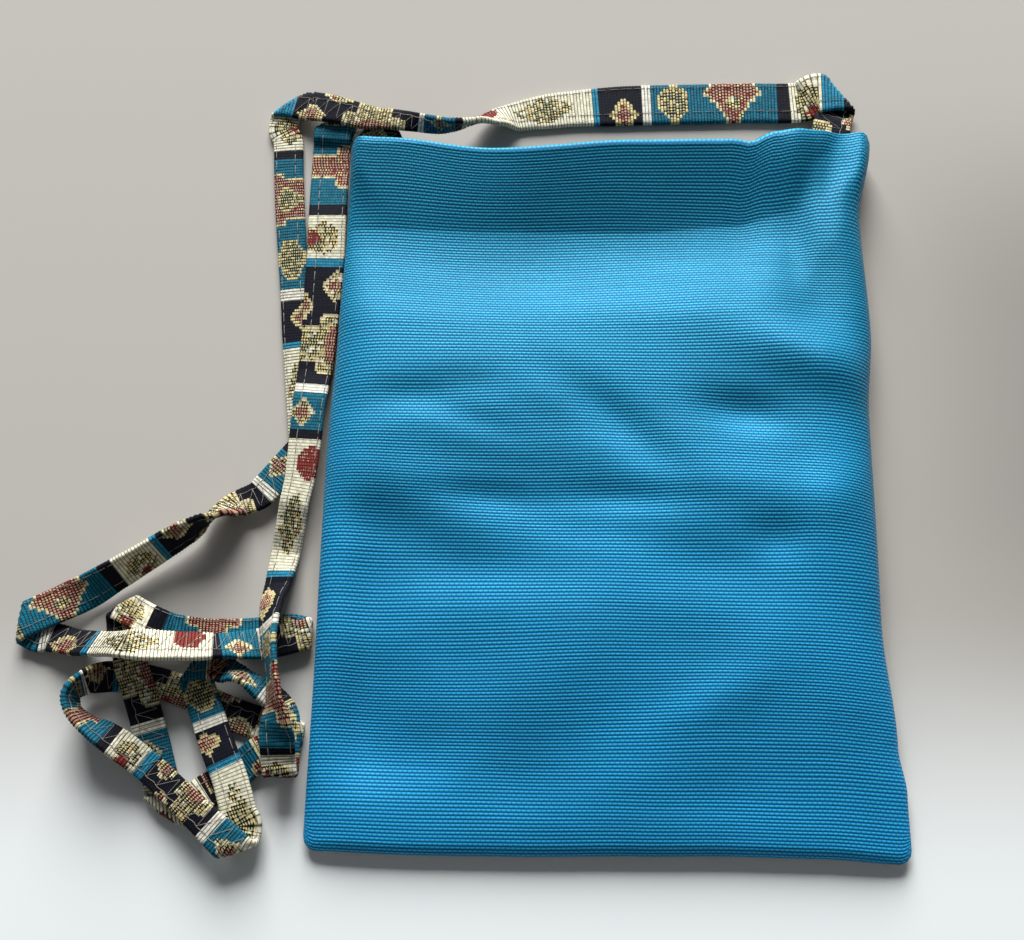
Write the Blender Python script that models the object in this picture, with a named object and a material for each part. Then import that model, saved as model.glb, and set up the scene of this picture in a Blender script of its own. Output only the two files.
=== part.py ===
"""Small zip shoulder bag: a flat pouch with a ribbed cloth back, a patterned cloth front, a coil zip
between the two top hems and a long flat strap sewn in at both top corners.

The bag lies on its front. X runs along the zip, +Y points from the bottom seam to the zip and +Z is up,
out of the ribbed back. The origin is on the underside, in the middle of the bag. Units are metres.
"""

import math

import bmesh
import bpy
from mathutils import Vector

# Bag outline
BAG_WIDTH = 0.150
BAG_HEIGHT = 0.198
SEAM_HEIGHT = 0.0062
SEAM_GAP = 0.0003
SIDE_STRIP = 0.0022
BOTTOM_CORNER = 0.0035
TOP_CORNER = 0.0030

# Cloth
BACK_CLOTH = 0.0007
FRONT_CLOTH = 0.0008
FOLD_GAP = 0.0003
HEM_DEPTH = 0.0125

# Fullness: how far each panel stands off the seam, and how wide its rounded edge is
MOUTH_RISE = 0.00605
BELLY_RISE = 0.0068
TROUGH_RISE = 0.0047
TROUGH_FROM_TOP = 0.031
BELLY_FROM_TOP = 0.056
MOUTH_FROM_TOP = 0.011
BACK_EDGE = 0.024
FRONT_EDGE = 0.014
MOUTH_EDGE = 0.0045
BOTTOM_EDGE = 0.016

# Side and top lines of the cloth, as (share of the height, sideways shift) and (share of the width, rise)
LEFT_LINE = ((0.0, 0.0), (0.25, 0.0006), (0.5, 0.0006), (0.7, 0.0018), (0.85, 0.0026), (1.0, 0.0025))
RIGHT_LINE = ((0.0, 0.0), (0.12, -0.0018), (0.3, -0.0040), (0.58, -0.0042), (0.7, -0.0024),
              (0.87, -0.0036), (1.0, 0.0006))
TOP_LINE = ((0.0, -0.0006), (0.28, -0.0044), (0.55, -0.0024), (0.735, -0.0022), (0.765, -0.0046),
            (0.81, -0.0008), (0.92, 0.0028), (1.0, 0.0026))

# Zip
ZIP_FROM_TOP = 0.0105
ZIP_Y = BAG_HEIGHT / 2 - ZIP_FROM_TOP
TAPE_THICKNESS = 0.0005
TAPE_INNER = 0.0010
TAPE_OUTER = 0.0040
TAPE_DEPTH = 0.0105
TAPE_FROM_SIDE = 0.009
TAPE_LENGTH = BAG_WIDTH - 2 * TAPE_FROM_SIDE
ZIP_GAP = 0.0003
TEETH_HEIGHT = 0.0015
TOOTH_PITCH = 0.0015
TOOTH_WIDTH = 0.00045
TOOTH_REACH = 0.00035
SPINE_INNER = 0.0012
ROW_OUTER = 0.0021
CLOSED_FROM_SIDE = 0.022
OPEN_FROM_SIDE = 0.023
CLOSED_X = BAG_WIDTH / 2 - CLOSED_FROM_SIDE
OPEN_X = OPEN_FROM_SIDE - BAG_WIDTH / 2
STOP_LENGTH = 0.0015

# Slider and pull
SLIDER_LENGTH = 0.010
SLIDER_HALF_WIDTH = 0.0032
SLIDER_NARROW = 0.0027
PLATE = 0.0009
FLANGE = 0.0007
WEDGE_HALF_WIDTH = 0.0006
WEDGE_FROM_CENTRE = 0.0027
WEDGE_LENGTH = 0.0018
BRIDGE_LENGTH = 0.0062
BRIDGE_WIDTH = 0.0016
BRIDGE_HEIGHT = 0.0023
BRIDGE_THICKNESS = 0.0006
PULL_LENGTH = 0.0150
PULL_HALF_WIDTH = 0.0020
PULL_THICKNESS = 0.0008

# Strap
STRAP_WIDTH = 0.0109
STRAP_THICKNESS = 0.0015
STRAP_EDGE = 0.0005
RUN_STEP = 0.0050
TWIST_STEP = 0.0026
FOLD_STEP = 0.0017
FOLD_MARGIN = 0.0010

# The strap's route from the right corner to the left one, in millimetres. Each strand ends at a fold, where
# the strap turns over upwards (+1) or downwards (-1) round the given radius. A point is x, y and z, then its
# roll about the strap's length in degrees.
STRANDS = (
    (((64.9, 91.3, 2.95), (65, 97, 2.95), (65.2, 101.5, 2.95), (65.7, 105, 2.8), (66.4, 108.2, 2.67),
      (68.7, 115.2, 1.52)), +1, 0.95),
    (((57.4, 115.3, 0.98), (41.4, 115, 0.98), (28.2, 114.6, 0.98), (4.8, 113.7, 0.98),
      (-12.8, 112.2, 0.98), (-25.5, 109.8, 0.99), (-32.5, 107.2, 4.11, 35), (-38, 104.8, 6.62, 65),
      (-43.4, 103.4, 7.08, 90), (-48.8, 103.6, 6.66, 118), (-53.9, 104.6, 6.26, 150),
      (-59.5, 105.6, 5.82, 180), (-68, 106.9, 4.76, 180), (-78.3, 109.4, 5.15, 180),
      (-85.5, 111.3, 3.86, 180), (-91, 112.6, 2.88, 180)), -1, 0.95),
    (((-92.2, 101.6, 0.98), (-91.3, 91.7, 0.98), (-90.2, 80, 0.98), (-88.6, 66, 0.98), (-87, 52, 0.98),
      (-85.8, 40, 0.98), (-84.4, 30, 0.98), (-81.3, 10, 0.99)), +1, 0.95),
    (((-97.6, -9.6, 2.01, 12), (-100.7, -12.3, 4.56, 40), (-103.4, -14.5, 6.72, 70),
      (-106.6, -16.7, 7.12, 94), (-110.2, -19, 6.82, 108), (-114.8, -21.9, 6.45, 116),
      (-120.7, -25.8, 5.96, 120), (-128.2, -30.4, 5.13, 130), (-135.7, -34.6, 3.39, 152),
      (-142, -37.8, 3.44, 176), (-151.4, -42.4, 3.51, 180)), -1, 0.95),
    (((-144.6, -46.4, 1.83, -10), (-138, -48, 3.19, -26), (-130.5, -49.2, 7.9, -32),
      (-121, -49.9, 12.8, -34), (-108, -49.8, 10.18, -42), (-99.5, -49.4, 8.46, -40),
      (-93.5, -48.6, 5.9, -26), (-88, -47.6, 3.53, -8), (-83.6, -46.6, 2.9),
      (-77.6, -44.9, 2.89)), -1, 0.95),
    (((-83.6, -43.4, 0.98), (-92.6, -44.4, 0.98), (-102.6, -44.6, 1), (-111, -44.4, 4.56),
      (-117.2, -42.7, 7.28), (-124.6, -38.9, 4.4)), -1, 1.28),
    (((-123.4, -46.6, 2.63), (-121.4, -53.6, 7.14), (-119.2, -60.4, 4.65), (-117.2, -67, 2.24),
      (-115, -74, 0.98), (-112.6, -81.5, 0.98), (-111.4, -88.8, 0.98)), +1, 1.08),
    (((-101.4, -86.2, 2.15), (-97, -83.2, 1.64), (-91.5, -78.9, 1.5), (-87.2, -75.6, 3.12),
      (-84, -74, 3.04), (-78.4, -72.7, 2.9)), -1, 0.95),
    (((-85, -68.7, 0.98), (-91.5, -66.9, 0.98), (-98.8, -64.2, 0.98), (-106.9, -60.6, 0.98),
      (-114.5, -58, 0.98), (-120, -56.9, 0.98), (-124.5, -56.6, 0.98), (-128.4, -56.9, 3.26, -16),
      (-132.2, -58.4, 5.79, -58), (-135.4, -61.5, 7.56, -78), (-135, -65.4, 7.45, -78),
      (-131.4, -69, 7.3, -66), (-126.2, -72, 7.13, -42), (-120.6, -75.6, 5.83, -18),
      (-115, -79.6, 4.48, -4), (-108.6, -84.8, 5.11), (-101.8, -90.7, 5.8), (-92.2, -98.8, 5.8)), -1, 1.15),
    (((-91, -91.2, 3.76), (-92.6, -86.5, 3.94), (-94.4, -81.5, 4.02), (-96.8, -76.5, 4.11),
      (-99.3, -71, 3.5), (-101.8, -65, 2.84), (-103.8, -60.4, 2.84), (-105.6, -55, 2.89)), +1, 0.95),
    (((-97.4, -54.9, 5.56, -24), (-94.8, -55.6, 5.82, -48), (-91.9, -56.9, 6.12, -62),
      (-87.8, -59.6, 4.8, -46), (-84.2, -62.2, 3.61, -28), (-81.2, -65.9, 5.05, -16),
      (-80.4, -70.4, 6.1, -6), (-80.4, -74.8, 6.04), (-80.8, -80.2, 5.98)), +1, 0.95),
    (((-81.7, -73.5, 10.38, -8), (-82.2, -68.5, 12.24, -40), (-82.9, -63, 12.37, -65),
      (-83.9, -56.5, 12, -71), (-85, -50.5, 11.65, -66), (-85.8, -44.5, 9.71, -56),
      (-86, -38.5, 7.43, -40), (-85.4, -31.5, 3.2, -26), (-84.2, -22.5, 1.66, -8), (-83.2, -15.5, 3.46),
      (-82.3, -9.5, 5.01), (-81.2, -2, 4.79), (-80.6, 9, 4.79), (-80.1, 19.5, 4.74), (-79.5, 28.5, 2.84),
      (-79.1, 36.5, 2.84), (-78.8, 50, 2.84), (-78.6, 63, 2.84), (-78.8, 74, 2.84), (-79, 84, 1.97),
      (-79.1, 93, 0.98), (-79.1, 99, 1.01), (-78.6, 106.8, 2.9)), -1, 0.95),
    (((-65.6, 102.8, 3.15), (-63.3, 98.8, 3.15), (-62.9, 95, 2.95), (-62.9, 91.3, 2.95)), 0, 0),
)

BLUE_CLOTH = (0.017, 0.27, 0.50)
KILIM_CLOTH = (0.06, 0.13, 0.15)
STRAP_CLOTH = (0.22, 0.17, 0.10)
TAPE_BLACK = (0.012, 0.012, 0.014)
COIL_BLACK = (0.02, 0.02, 0.022)
NICKEL = (0.62, 0.61, 0.58)


def clear_scene():
    for obj in list(bpy.data.objects):
        bpy.data.objects.remove(obj, do_unlink=True)


def material(name, colour, roughness, metallic=0.0):
    made = bpy.data.materials.new(name)
    made.use_nodes = True
    shader = made.node_tree.nodes["Principled BSDF"]
    shader.inputs["Base Color"].default_value = (*colour, 1.0)
    shader.inputs["Roughness"].default_value = roughness
    shader.inputs["Metallic"].default_value = metallic
    return made


def add_object(name, bm, finish, smooth_angle=35.0):
    bmesh.ops.recalc_face_normals(bm, faces=bm.faces)
    mesh = bpy.data.meshes.new(name)
    bm.to_mesh(mesh)
    bm.free()
    mesh.shade_smooth()
    mesh.set_sharp_from_angle(angle=math.radians(smooth_angle))
    mesh.materials.append(finish)
    obj = bpy.data.objects.new(name, mesh)
    bpy.context.collection.objects.link(obj)
    return obj


def smooth_step(value):
    value = min(max(value, 0.0), 1.0)
    return value * value * (3.0 - 2.0 * value)


def along(line, share):
    """The value of a (share, value) line at a share of its length, eased between its points."""
    for (start, low), (end, high) in zip(line, line[1:]):
        if share <= end:
            return low + (high - low) * smooth_step((share - start) / (end - start))
    return line[-1][1]


def corner_drop(distance, radius):
    """How far a rounded corner stands back from a straight edge, this far from the side."""
    if distance >= radius:
        return 0.0
    return radius - math.sqrt(radius**2 - (radius - distance) ** 2)


def left_x(y):
    return -BAG_WIDTH / 2 + along(LEFT_LINE, y / BAG_HEIGHT + 0.5)


def right_x(y):
    return BAG_WIDTH / 2 + along(RIGHT_LINE, y / BAG_HEIGHT + 0.5)


def edge_curve(distance, reach):
    """Rise of a cloth's rounded edge, from 0 at the seam to 1 where the cloth runs flat."""
    share = min(max(distance / reach, 0.0), 1.0)
    return math.sqrt(1.0 - (1.0 - share) ** 2)


def back_rise(y):
    """Fullness of the back along its height: a full belly, a trough under the hem and the thick mouth."""
    from_top = BAG_HEIGHT / 2 - y
    if from_top < TROUGH_FROM_TOP:
        share = smooth_step((from_top - MOUTH_FROM_TOP) / (TROUGH_FROM_TOP - MOUTH_FROM_TOP))
        return MOUTH_RISE + (TROUGH_RISE - MOUTH_RISE) * share
    share = smooth_step((from_top - TROUGH_FROM_TOP) / (BELLY_FROM_TOP - TROUGH_FROM_TOP))
    return TROUGH_RISE + (BELLY_RISE - TROUGH_RISE) * share


def front_rise(_y):
    return MOUTH_RISE


def side_reach(y, belly_reach):
    """Width of the rounded side edge, which gets short at the stiff mouth."""
    from_top = BAG_HEIGHT / 2 - y
    share = smooth_step((from_top - MOUTH_FROM_TOP) / (TROUGH_FROM_TOP - MOUTH_FROM_TOP))
    return MOUTH_EDGE + (belly_reach - MOUTH_EDGE) * share


def edge_steps(count):
    """Shares from 0 to 1 that get closer towards both ends, with one narrow strip at each end."""
    middle = 1.0 - 2.0 * SIDE_STRIP
    eased_steps = [0.5 - 0.5 * math.cos(math.pi * index / count) for index in range(count + 1)]
    return [0.0, *(SIDE_STRIP + middle * step for step in eased_steps), 1.0]


class Panel:
    """One cloth of the pouch: a sheet that rises from the seam and turns in as a hem at the top."""

    def __init__(self, side, cloth, rise, belly_reach, columns, rows):
        self.side = side
        self.cloth = cloth
        self.rise = rise
        self.belly_reach = belly_reach
        self.across = edge_steps(columns)
        self.up = edge_steps(rows)

    def top_y(self, share):
        x_from_side = min(share, 1.0 - share) * BAG_WIDTH
        return BAG_HEIGHT / 2 + along(TOP_LINE, share) - corner_drop(x_from_side, TOP_CORNER)

    def bottom_y(self, share):
        return -BAG_HEIGHT / 2 + corner_drop(min(share, 1.0 - share) * BAG_WIDTH, BOTTOM_CORNER)

    def point(self, share, y, inset):
        """A point at this share of the width, on the surface this deep inside the cloth's outer one."""
        left = left_x(y) + inset
        right = right_x(y) - inset
        x = left + (right - left) * share
        from_side = min(x - left, right - x)
        from_bottom = y - self.bottom_y(share) - inset
        rise = self.rise(y) - inset
        rise *= edge_curve(from_side, side_reach(y, self.belly_reach) - inset)
        rise *= edge_curve(from_bottom, BOTTOM_EDGE - inset)
        return Vector((x, y, SEAM_HEIGHT + self.side * (SEAM_GAP / 2 + rise)))

    def column(self, share):
        """The closed section of the cloth at one share of the width, from the seam to the hem and back."""
        cloth = self.cloth
        top = self.top_y(share)
        low = self.bottom_y(share)
        turn = cloth + FOLD_GAP / 2
        bend_y = top - turn
        outer = [self.point(share, low + (bend_y - low) * step, 0.0) for step in self.up]
        bend = [math.pi * index / 5 for index in range(1, 5)]
        for angle in bend:
            outer.append(self.point(share, bend_y + turn * math.sin(angle), turn - turn * math.cos(angle)))
        tail = [bend_y - HEM_DEPTH * index / 3 for index in range(4)]
        outer += [self.point(share, y, 2 * turn) for y in tail]
        inner = [self.point(share, y, cloth + FOLD_GAP) for y in reversed(tail)]
        inner += [self.point(share, bend_y + FOLD_GAP / 2, turn)]
        first = low + cloth
        inner += [self.point(share, first + (bend_y - first) * step, cloth) for step in reversed(self.up)]
        return outer + inner

    def build(self, name, finish):
        bm = bmesh.new()
        columns = [[bm.verts.new(spot) for spot in self.column(share)] for share in self.across]
        count = len(columns[0])
        for left, right in zip(columns, columns[1:]):
            for index in range(count):
                following = (index + 1) % count
                bm.faces.new((left[index], left[following], right[following], right[index]))
        for column in (columns[0], columns[-1]):
            self.close_side(bm, column)
        return add_object(name, bm, finish)

    def close_side(self, bm, column):
        """Fills the cut side of the sheet between the outer and the inner half of the section."""
        rows = len(self.up)
        outer = column[: rows + 4 + 4]
        inner = column[rows + 4 + 4:]
        inner.reverse()
        main_inner = inner[:rows]
        fold = inner[rows]
        tail_inner = inner[rows + 1:]
        for index in range(rows - 1):
            bm.faces.new((outer[index], outer[index + 1], main_inner[index + 1], main_inner[index]))
        bend_ring = outer[rows - 1: rows + 5]
        for first, second in zip(bend_ring[:3], bend_ring[1:3]):
            bm.faces.new((first, second, fold))
        bm.faces.new((bend_ring[0], fold, main_inner[-1]))
        for first, second in zip(bend_ring[2:], bend_ring[3:]):
            bm.faces.new((first, second, fold))
        bm.faces.new((bend_ring[-1], tail_inner[0], fold))
        tail_outer = outer[rows + 4:]
        for index in range(3):
            after = index + 1
            bm.faces.new((tail_outer[index], tail_outer[after], tail_inner[after], tail_inner[index]))


def build_panels(blue, kilim):
    Panel(+1, BACK_CLOTH, back_rise, BACK_EDGE, 20, 24).build("back_panel", blue)
    Panel(-1, FRONT_CLOTH, front_rise, FRONT_EDGE, 20, 20).build("front_panel", kilim)


def prism(bm, outline, low, high, axis):
    """Extrudes a closed outline from low to high: (y, z) points along 'x' or (x, z) points along 'y'."""

    def place(a, b, c):
        return (c, a, b) if axis == "x" else (a, c, b)

    ends = [[bm.verts.new(place(a, b, level)) for a, b in outline] for level in (low, high)]
    bm.faces.new(ends[0])
    bm.faces.new(ends[1][::-1])
    for index in range(len(outline)):
        following = (index + 1) % len(outline)
        bm.faces.new((ends[0][index], ends[1][index], ends[1][following], ends[0][following]))


def build_tapes(finish):
    """Each zip tape: flat under the coil, then turned down along the inside of its hem."""
    for name, side in (("zip_tape_back", +1), ("zip_tape_front", -1)):
        face = ZIP_Y + TAPE_THICKNESS
        corner = 0.0006
        outline = [
            (face, TAPE_INNER),
            (face, TAPE_OUTER - corner),
            (face - corner, TAPE_OUTER),
            (face - TAPE_DEPTH, TAPE_OUTER),
            (face - TAPE_DEPTH, TAPE_OUTER - TAPE_THICKNESS),
            (ZIP_Y - corner, TAPE_OUTER - TAPE_THICKNESS),
            (ZIP_Y, TAPE_OUTER - TAPE_THICKNESS - corner),
            (ZIP_Y, TAPE_INNER),
        ]
        bm = bmesh.new()
        section = [(y, SEAM_HEIGHT + side * reach) for y, reach in outline]
        prism(bm, section, -TAPE_LENGTH / 2, TAPE_LENGTH / 2, "x")
        add_object(name, bm, finish, 60)


def row_start():
    return OPEN_X - SLIDER_LENGTH / 2 - ZIP_GAP


def row_end():
    return CLOSED_X + WEDGE_FROM_CENTRE - ZIP_GAP


def build_coil_rows(finish):
    """Two rows whose teeth mesh: the front row's stand half a pitch along from the back row's."""
    base = ZIP_Y + TAPE_THICKNESS + ZIP_GAP
    for name, side, shift in (("zip_coil_back", +1, 0.0), ("zip_coil_front", -1, 0.5)):
        outline = [(row_start(), ROW_OUTER), (row_start(), SPINE_INNER)]
        count = int((row_end() - row_start() - TOOTH_PITCH) / TOOTH_PITCH)
        for index in range(count):
            x = row_start() + TOOTH_PITCH * (index + 0.6 + shift)
            half = TOOTH_WIDTH / 2
            outline += [(x - half, SPINE_INNER), (x - half, -TOOTH_REACH)]
            outline += [(x + half, -TOOTH_REACH), (x + half, SPINE_INNER)]
        outline += [(row_end(), SPINE_INNER), (row_end(), ROW_OUTER)]
        bm = bmesh.new()
        section = [(x, SEAM_HEIGHT + side * reach) for x, reach in outline]
        prism(bm, section, base, base + TEETH_HEIGHT, "y")
        add_object(name, bm, finish)


def add_box(bm, low, high):
    made = bmesh.ops.create_cube(bm, size=1.0)["verts"]
    for vert in made:
        vert.co = Vector([low[axis] + (high[axis] - low[axis]) * (vert.co[axis] + 0.5) for axis in range(3)])
    return made


def bevelled(bm, width):
    bmesh.ops.bevel(bm, geom=bm.edges[:], offset=width, segments=1, affect="EDGES")


def build_stops(finish):
    """A clip on each tape at the closed end, and one across both rows at the other end."""
    base = ZIP_Y + TAPE_THICKNESS + ZIP_GAP
    top = base + TEETH_HEIGHT
    start = CLOSED_X + SLIDER_LENGTH / 2 + 2 * ZIP_GAP
    for name, side in (("top_stop_back", +1), ("top_stop_front", -1)):
        reach = sorted((SEAM_HEIGHT + side * SPINE_INNER, SEAM_HEIGHT + side * (ROW_OUTER + ZIP_GAP)))
        bm = bmesh.new()
        add_box(bm, (start, base, reach[0]), (start + STOP_LENGTH, top, reach[1]))
        bevelled(bm, 0.00025)
        add_object(name, bm, finish)
    end = row_start() - ZIP_GAP
    bm = bmesh.new()
    add_box(bm, (end - STOP_LENGTH, base, SEAM_HEIGHT - ROW_OUTER), (end, top, SEAM_HEIGHT + ROW_OUTER))
    bevelled(bm, 0.0003)
    add_object("bottom_stop", bm, finish)


def plate_outline(length, wide, narrow):
    """Plan of a slider plate: wide and rounded at its mouth, at +X, and narrow at its tail."""
    half = length / 2
    nose = [(half - 0.0016 + 0.0016 * math.sin(angle), wide - 0.0016 + 0.0016 * math.cos(angle))
            for angle in (0.0, math.pi / 6, math.pi / 3, math.pi / 2)]
    tail = [(-half + 0.0012 - 0.0012 * math.sin(angle), narrow - 0.0012 + 0.0012 * math.cos(angle))
            for angle in (math.pi / 2, math.pi / 4, 0.0)]
    waist = [(-half * 0.25, narrow + 0.0001), (half * 0.2, wide - 0.0001)]
    upper = tail + waist + nose
    return upper + [(x, -reach) for x, reach in reversed(upper)]


def flange_outline(side):
    """Plan of the rim along one side of the top plate."""
    half = SLIDER_LENGTH / 2
    outer = [(-half + 0.0012, SLIDER_NARROW), (-half / 4, SLIDER_NARROW + 0.0001),
             (half / 5, SLIDER_HALF_WIDTH - 0.0001), (half - 0.0016, SLIDER_HALF_WIDTH)]
    inner = [(x, max(reach - FLANGE, ROW_OUTER + 0.00015)) for x, reach in reversed(outer)]
    return [(x, side * reach) for x, reach in outer + inner]


def joined(target, others):
    """Boolean union of simple solids into one body, with the cutters left hidden."""
    for other in others:
        other.hide_render = True
        other.display_type = "WIRE"
        union = target.modifiers.new("join_" + other.name, "BOOLEAN")
        union.operation = "UNION"
        union.object = other


def helper_prism(name, section, low, high, axis, origin, finish):
    bm = bmesh.new()
    prism(bm, section, low, high, axis)
    obj = add_object(name, bm, finish)
    obj.location = origin
    return obj


def build_slider(finish):
    """Slider at the closed end: two plates, a rim down each side, a wedge between and a bridge on top."""
    origin = Vector((CLOSED_X, 0.0, SEAM_HEIGHT))
    under = ZIP_Y - ZIP_GAP
    over = ZIP_Y + TAPE_THICKNESS + 2 * ZIP_GAP + TEETH_HEIGHT
    rim_low = ZIP_Y + TAPE_THICKNESS + ZIP_GAP
    plan = plate_outline(SLIDER_LENGTH, SLIDER_HALF_WIDTH, SLIDER_NARROW)
    slider = helper_prism("zip_slider", plan, over, over + PLATE, "y", origin, finish)
    below = helper_prism("slider_lower_plate", plan, under - PLATE, under, "y", origin, finish)
    start = WEDGE_FROM_CENTRE
    wedge_plan = [(start, 0.0), (start + WEDGE_LENGTH * 0.4, WEDGE_HALF_WIDTH)]
    wedge_plan += [(start + WEDGE_LENGTH, WEDGE_HALF_WIDTH)]
    wedge_plan += [(x, -reach) for x, reach in reversed(wedge_plan[1:])]
    sunk = PLATE / 2
    wedge = helper_prism("slider_wedge", wedge_plan, under - sunk, over + sunk, "y", origin, finish)
    rims = []
    for word, side in (("back", +1), ("front", -1)):
        plan = flange_outline(side)
        rims.append(helper_prism("slider_rim_" + word, plan, rim_low, over + sunk, "y", origin, finish))
    bridge = build_bridge(over + PLATE, sunk, origin, finish)
    joined(slider, [below, wedge, *rims, bridge])
    return slider


def build_bridge(face, sunk, origin, finish):
    """The arch over the slider's top plate that the pull's eye runs through."""
    half = BRIDGE_LENGTH / 2
    outer = [(-half, face - sunk), (-half, face + BRIDGE_HEIGHT * 0.55), (-half * 0.6, face + BRIDGE_HEIGHT),
             (half * 0.6, face + BRIDGE_HEIGHT), (half, face + BRIDGE_HEIGHT * 0.55), (half, face - sunk)]
    inside = half - BRIDGE_THICKNESS
    crown = face + BRIDGE_HEIGHT - BRIDGE_THICKNESS
    inner = [(inside, face - sunk), (inside, face + BRIDGE_HEIGHT * 0.4), (inside * 0.6, crown),
             (-inside * 0.6, crown), (-inside, face + BRIDGE_HEIGHT * 0.4), (-inside, face - sunk)]
    bm = bmesh.new()
    across = (-BRIDGE_WIDTH / 2, BRIDGE_WIDTH / 2)
    ends = [[bm.verts.new((x, y, z)) for x, y in outer + inner] for z in across]
    count = len(ends[0])
    for ring in ends:
        for index in range(len(outer) - 1):
            bm.faces.new((ring[index], ring[index + 1], ring[count - 2 - index], ring[count - 1 - index]))
    for index in range(count):
        following = (index + 1) % count
        bm.faces.new((ends[0][index], ends[0][following], ends[1][following], ends[1][index]))
    bridge = add_object("slider_bridge", bm, finish)
    bridge.location = origin
    return bridge


def pull_axis_y():
    """Height of the pull's pin over the zip: just under the crown of the bridge."""
    face = ZIP_Y + TAPE_THICKNESS + 2 * ZIP_GAP + TEETH_HEIGHT + PLATE
    return face + (BRIDGE_HEIGHT - BRIDGE_THICKNESS) / 2


def build_pull(finish):
    """Pull tab with an eye at one end. Its origin is on the pin line, and it lies over the closed zip."""
    half = PULL_THICKNESS / 2
    eye_half = BRIDGE_WIDTH / 2 + ZIP_GAP
    pin = 0.00035
    bm = bmesh.new()
    rim = PULL_HALF_WIDTH
    outline = [(pin, -rim), (pin, rim), (-PULL_LENGTH + 0.0012, rim * 1.0), (-PULL_LENGTH, rim * 0.5),
               (-PULL_LENGTH, -rim * 0.5), (-PULL_LENGTH + 0.0012, -rim)]
    eye_end = -BRIDGE_LENGTH / 2 - ZIP_GAP
    hole = [(-pin, -eye_half), (-pin, eye_half), (eye_end, eye_half), (eye_end, -eye_half)]
    rings = []
    for y in (-half, half):
        rings.append([[bm.verts.new((x, y, z)) for x, z in ring] for ring in (outline, hole)])
    for outer, inner in rings:
        bm.faces.new((outer[0], outer[1], inner[1], inner[0]))
        bm.faces.new((outer[1], outer[2], inner[2], inner[1]))
        bm.faces.new((outer[2], outer[3], outer[4], outer[5], inner[3], inner[2]))
        bm.faces.new((outer[5], outer[0], inner[0], inner[3]))
    for ring_index, count in ((0, len(outline)), (1, len(hole))):
        for index in range(count):
            following = (index + 1) % count
            bm.faces.new((rings[0][ring_index][index], rings[0][ring_index][following],
                          rings[1][ring_index][following], rings[1][ring_index][index]))
    pull = add_object("zip_pull", bm, finish)
    pull.location = (CLOSED_X, pull_axis_y(), SEAM_HEIGHT)
    return pull


def hermite(start, end, start_slope, end_slope, share):
    square = share * share
    cube = square * share
    return (
        start * (2 * cube - 3 * square + 1)
        + start_slope * (cube - 2 * square + share)
        + end * (3 * square - 2 * cube)
        + end_slope * (cube - square)
    )


class Fold:
    """Where one strand turns over onto or under the next, round a slanting line across the strap."""

    def __init__(self, point, before, after, turn, radius):
        self.start = point
        self.before = before
        self.after = after
        self.turn = turn
        self.radius = radius
        self.line = (before + after).normalized()
        self.share = before.dot(self.line)
        self.inward = (before - self.line * self.share).normalized()
        self.sine = before.dot(self.inward)
        self.left = Vector((0, 0, 1)).cross(before)
        self.window = STRAP_WIDTH / 2 * abs(self.share) / self.sine + FOLD_MARGIN
        self.wrap = math.pi * radius / self.sine
        self.end = point + self.line * (self.share * self.wrap) + Vector((0, 0, 2 * turn * radius))

    def spot(self, past, side):
        """Place and upper normal of a point this far past the fold's start and this far to its left."""
        flat = self.before * past + self.left * side
        along_line = flat.dot(self.line)
        depth = flat.dot(self.inward)
        up = Vector((0, 0, 1))
        if depth <= 0.0:
            return self.start + flat, up
        if depth >= math.pi * self.radius:
            back = self.inward * (math.pi * self.radius - depth)
            return self.start + self.line * along_line + back + up * (2 * self.turn * self.radius), -up
        angle = depth / self.radius
        place = self.start + self.line * along_line + self.inward * (self.radius * math.sin(angle))
        place += up * (self.turn * self.radius * (1 - math.cos(angle)))
        return place, up * math.cos(angle) - self.inward * (self.turn * math.sin(angle))


class Strand:
    """A smooth run of strap between two folds, which may roll onto its edge or right over."""

    def __init__(self, points, start, end):
        self.points = [Vector(point[:3]) for point in points]
        self.roll = [math.radians(point[3]) if len(point) > 3 else 0.0 for point in points]
        self.slopes = []
        last = len(self.points) - 1
        for index in range(last + 1):
            before = self.points[max(index - 1, 0)]
            after = self.points[min(index + 1, last)]
            self.slopes.append((after - before).normalized())
        if start is not None:
            self.slopes[0] = start
        if end is not None:
            self.slopes[-1] = end

    def samples(self, run_step, twist_step):
        """Stations along the run: place, direction and roll."""
        found = []
        for index in range(len(self.points) - 1):
            start, end = self.points[index], self.points[index + 1]
            length = (end - start).length
            rolls = abs(self.roll[index + 1] - self.roll[index]) > 0.05
            steps = max(1, round(length / (twist_step if rolls else run_step)))
            for step in range(steps + (index == len(self.points) - 2)):
                share = step / steps
                found.append(self.station(index, share, length))
        return found

    def place(self, index, share, length):
        slopes = self.slopes[index] * length, self.slopes[index + 1] * length
        ends = self.points[index], self.points[index + 1]
        place = hermite(*ends, *slopes, share)
        place.z = ends[0].z + (ends[1].z - ends[0].z) * eased(share)
        return place

    def station(self, index, share, length):
        nudge = 0.01
        ahead = self.place(index, min(share + nudge, 1.0), length)
        behind = self.place(index, max(share - nudge, 0.0), length)
        roll = self.roll[index] + (self.roll[index + 1] - self.roll[index]) * eased(share)
        return self.place(index, share, length), (ahead - behind).normalized(), roll


def eased(share):
    """Half straight and half eased, so that heights and rolls join up softly at the points of a strand."""
    return 0.5 * share + 0.5 * smooth_step(share)


def flat_direction(start, end):
    way = end - start
    way.z = 0.0
    return way.normalized()


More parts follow.
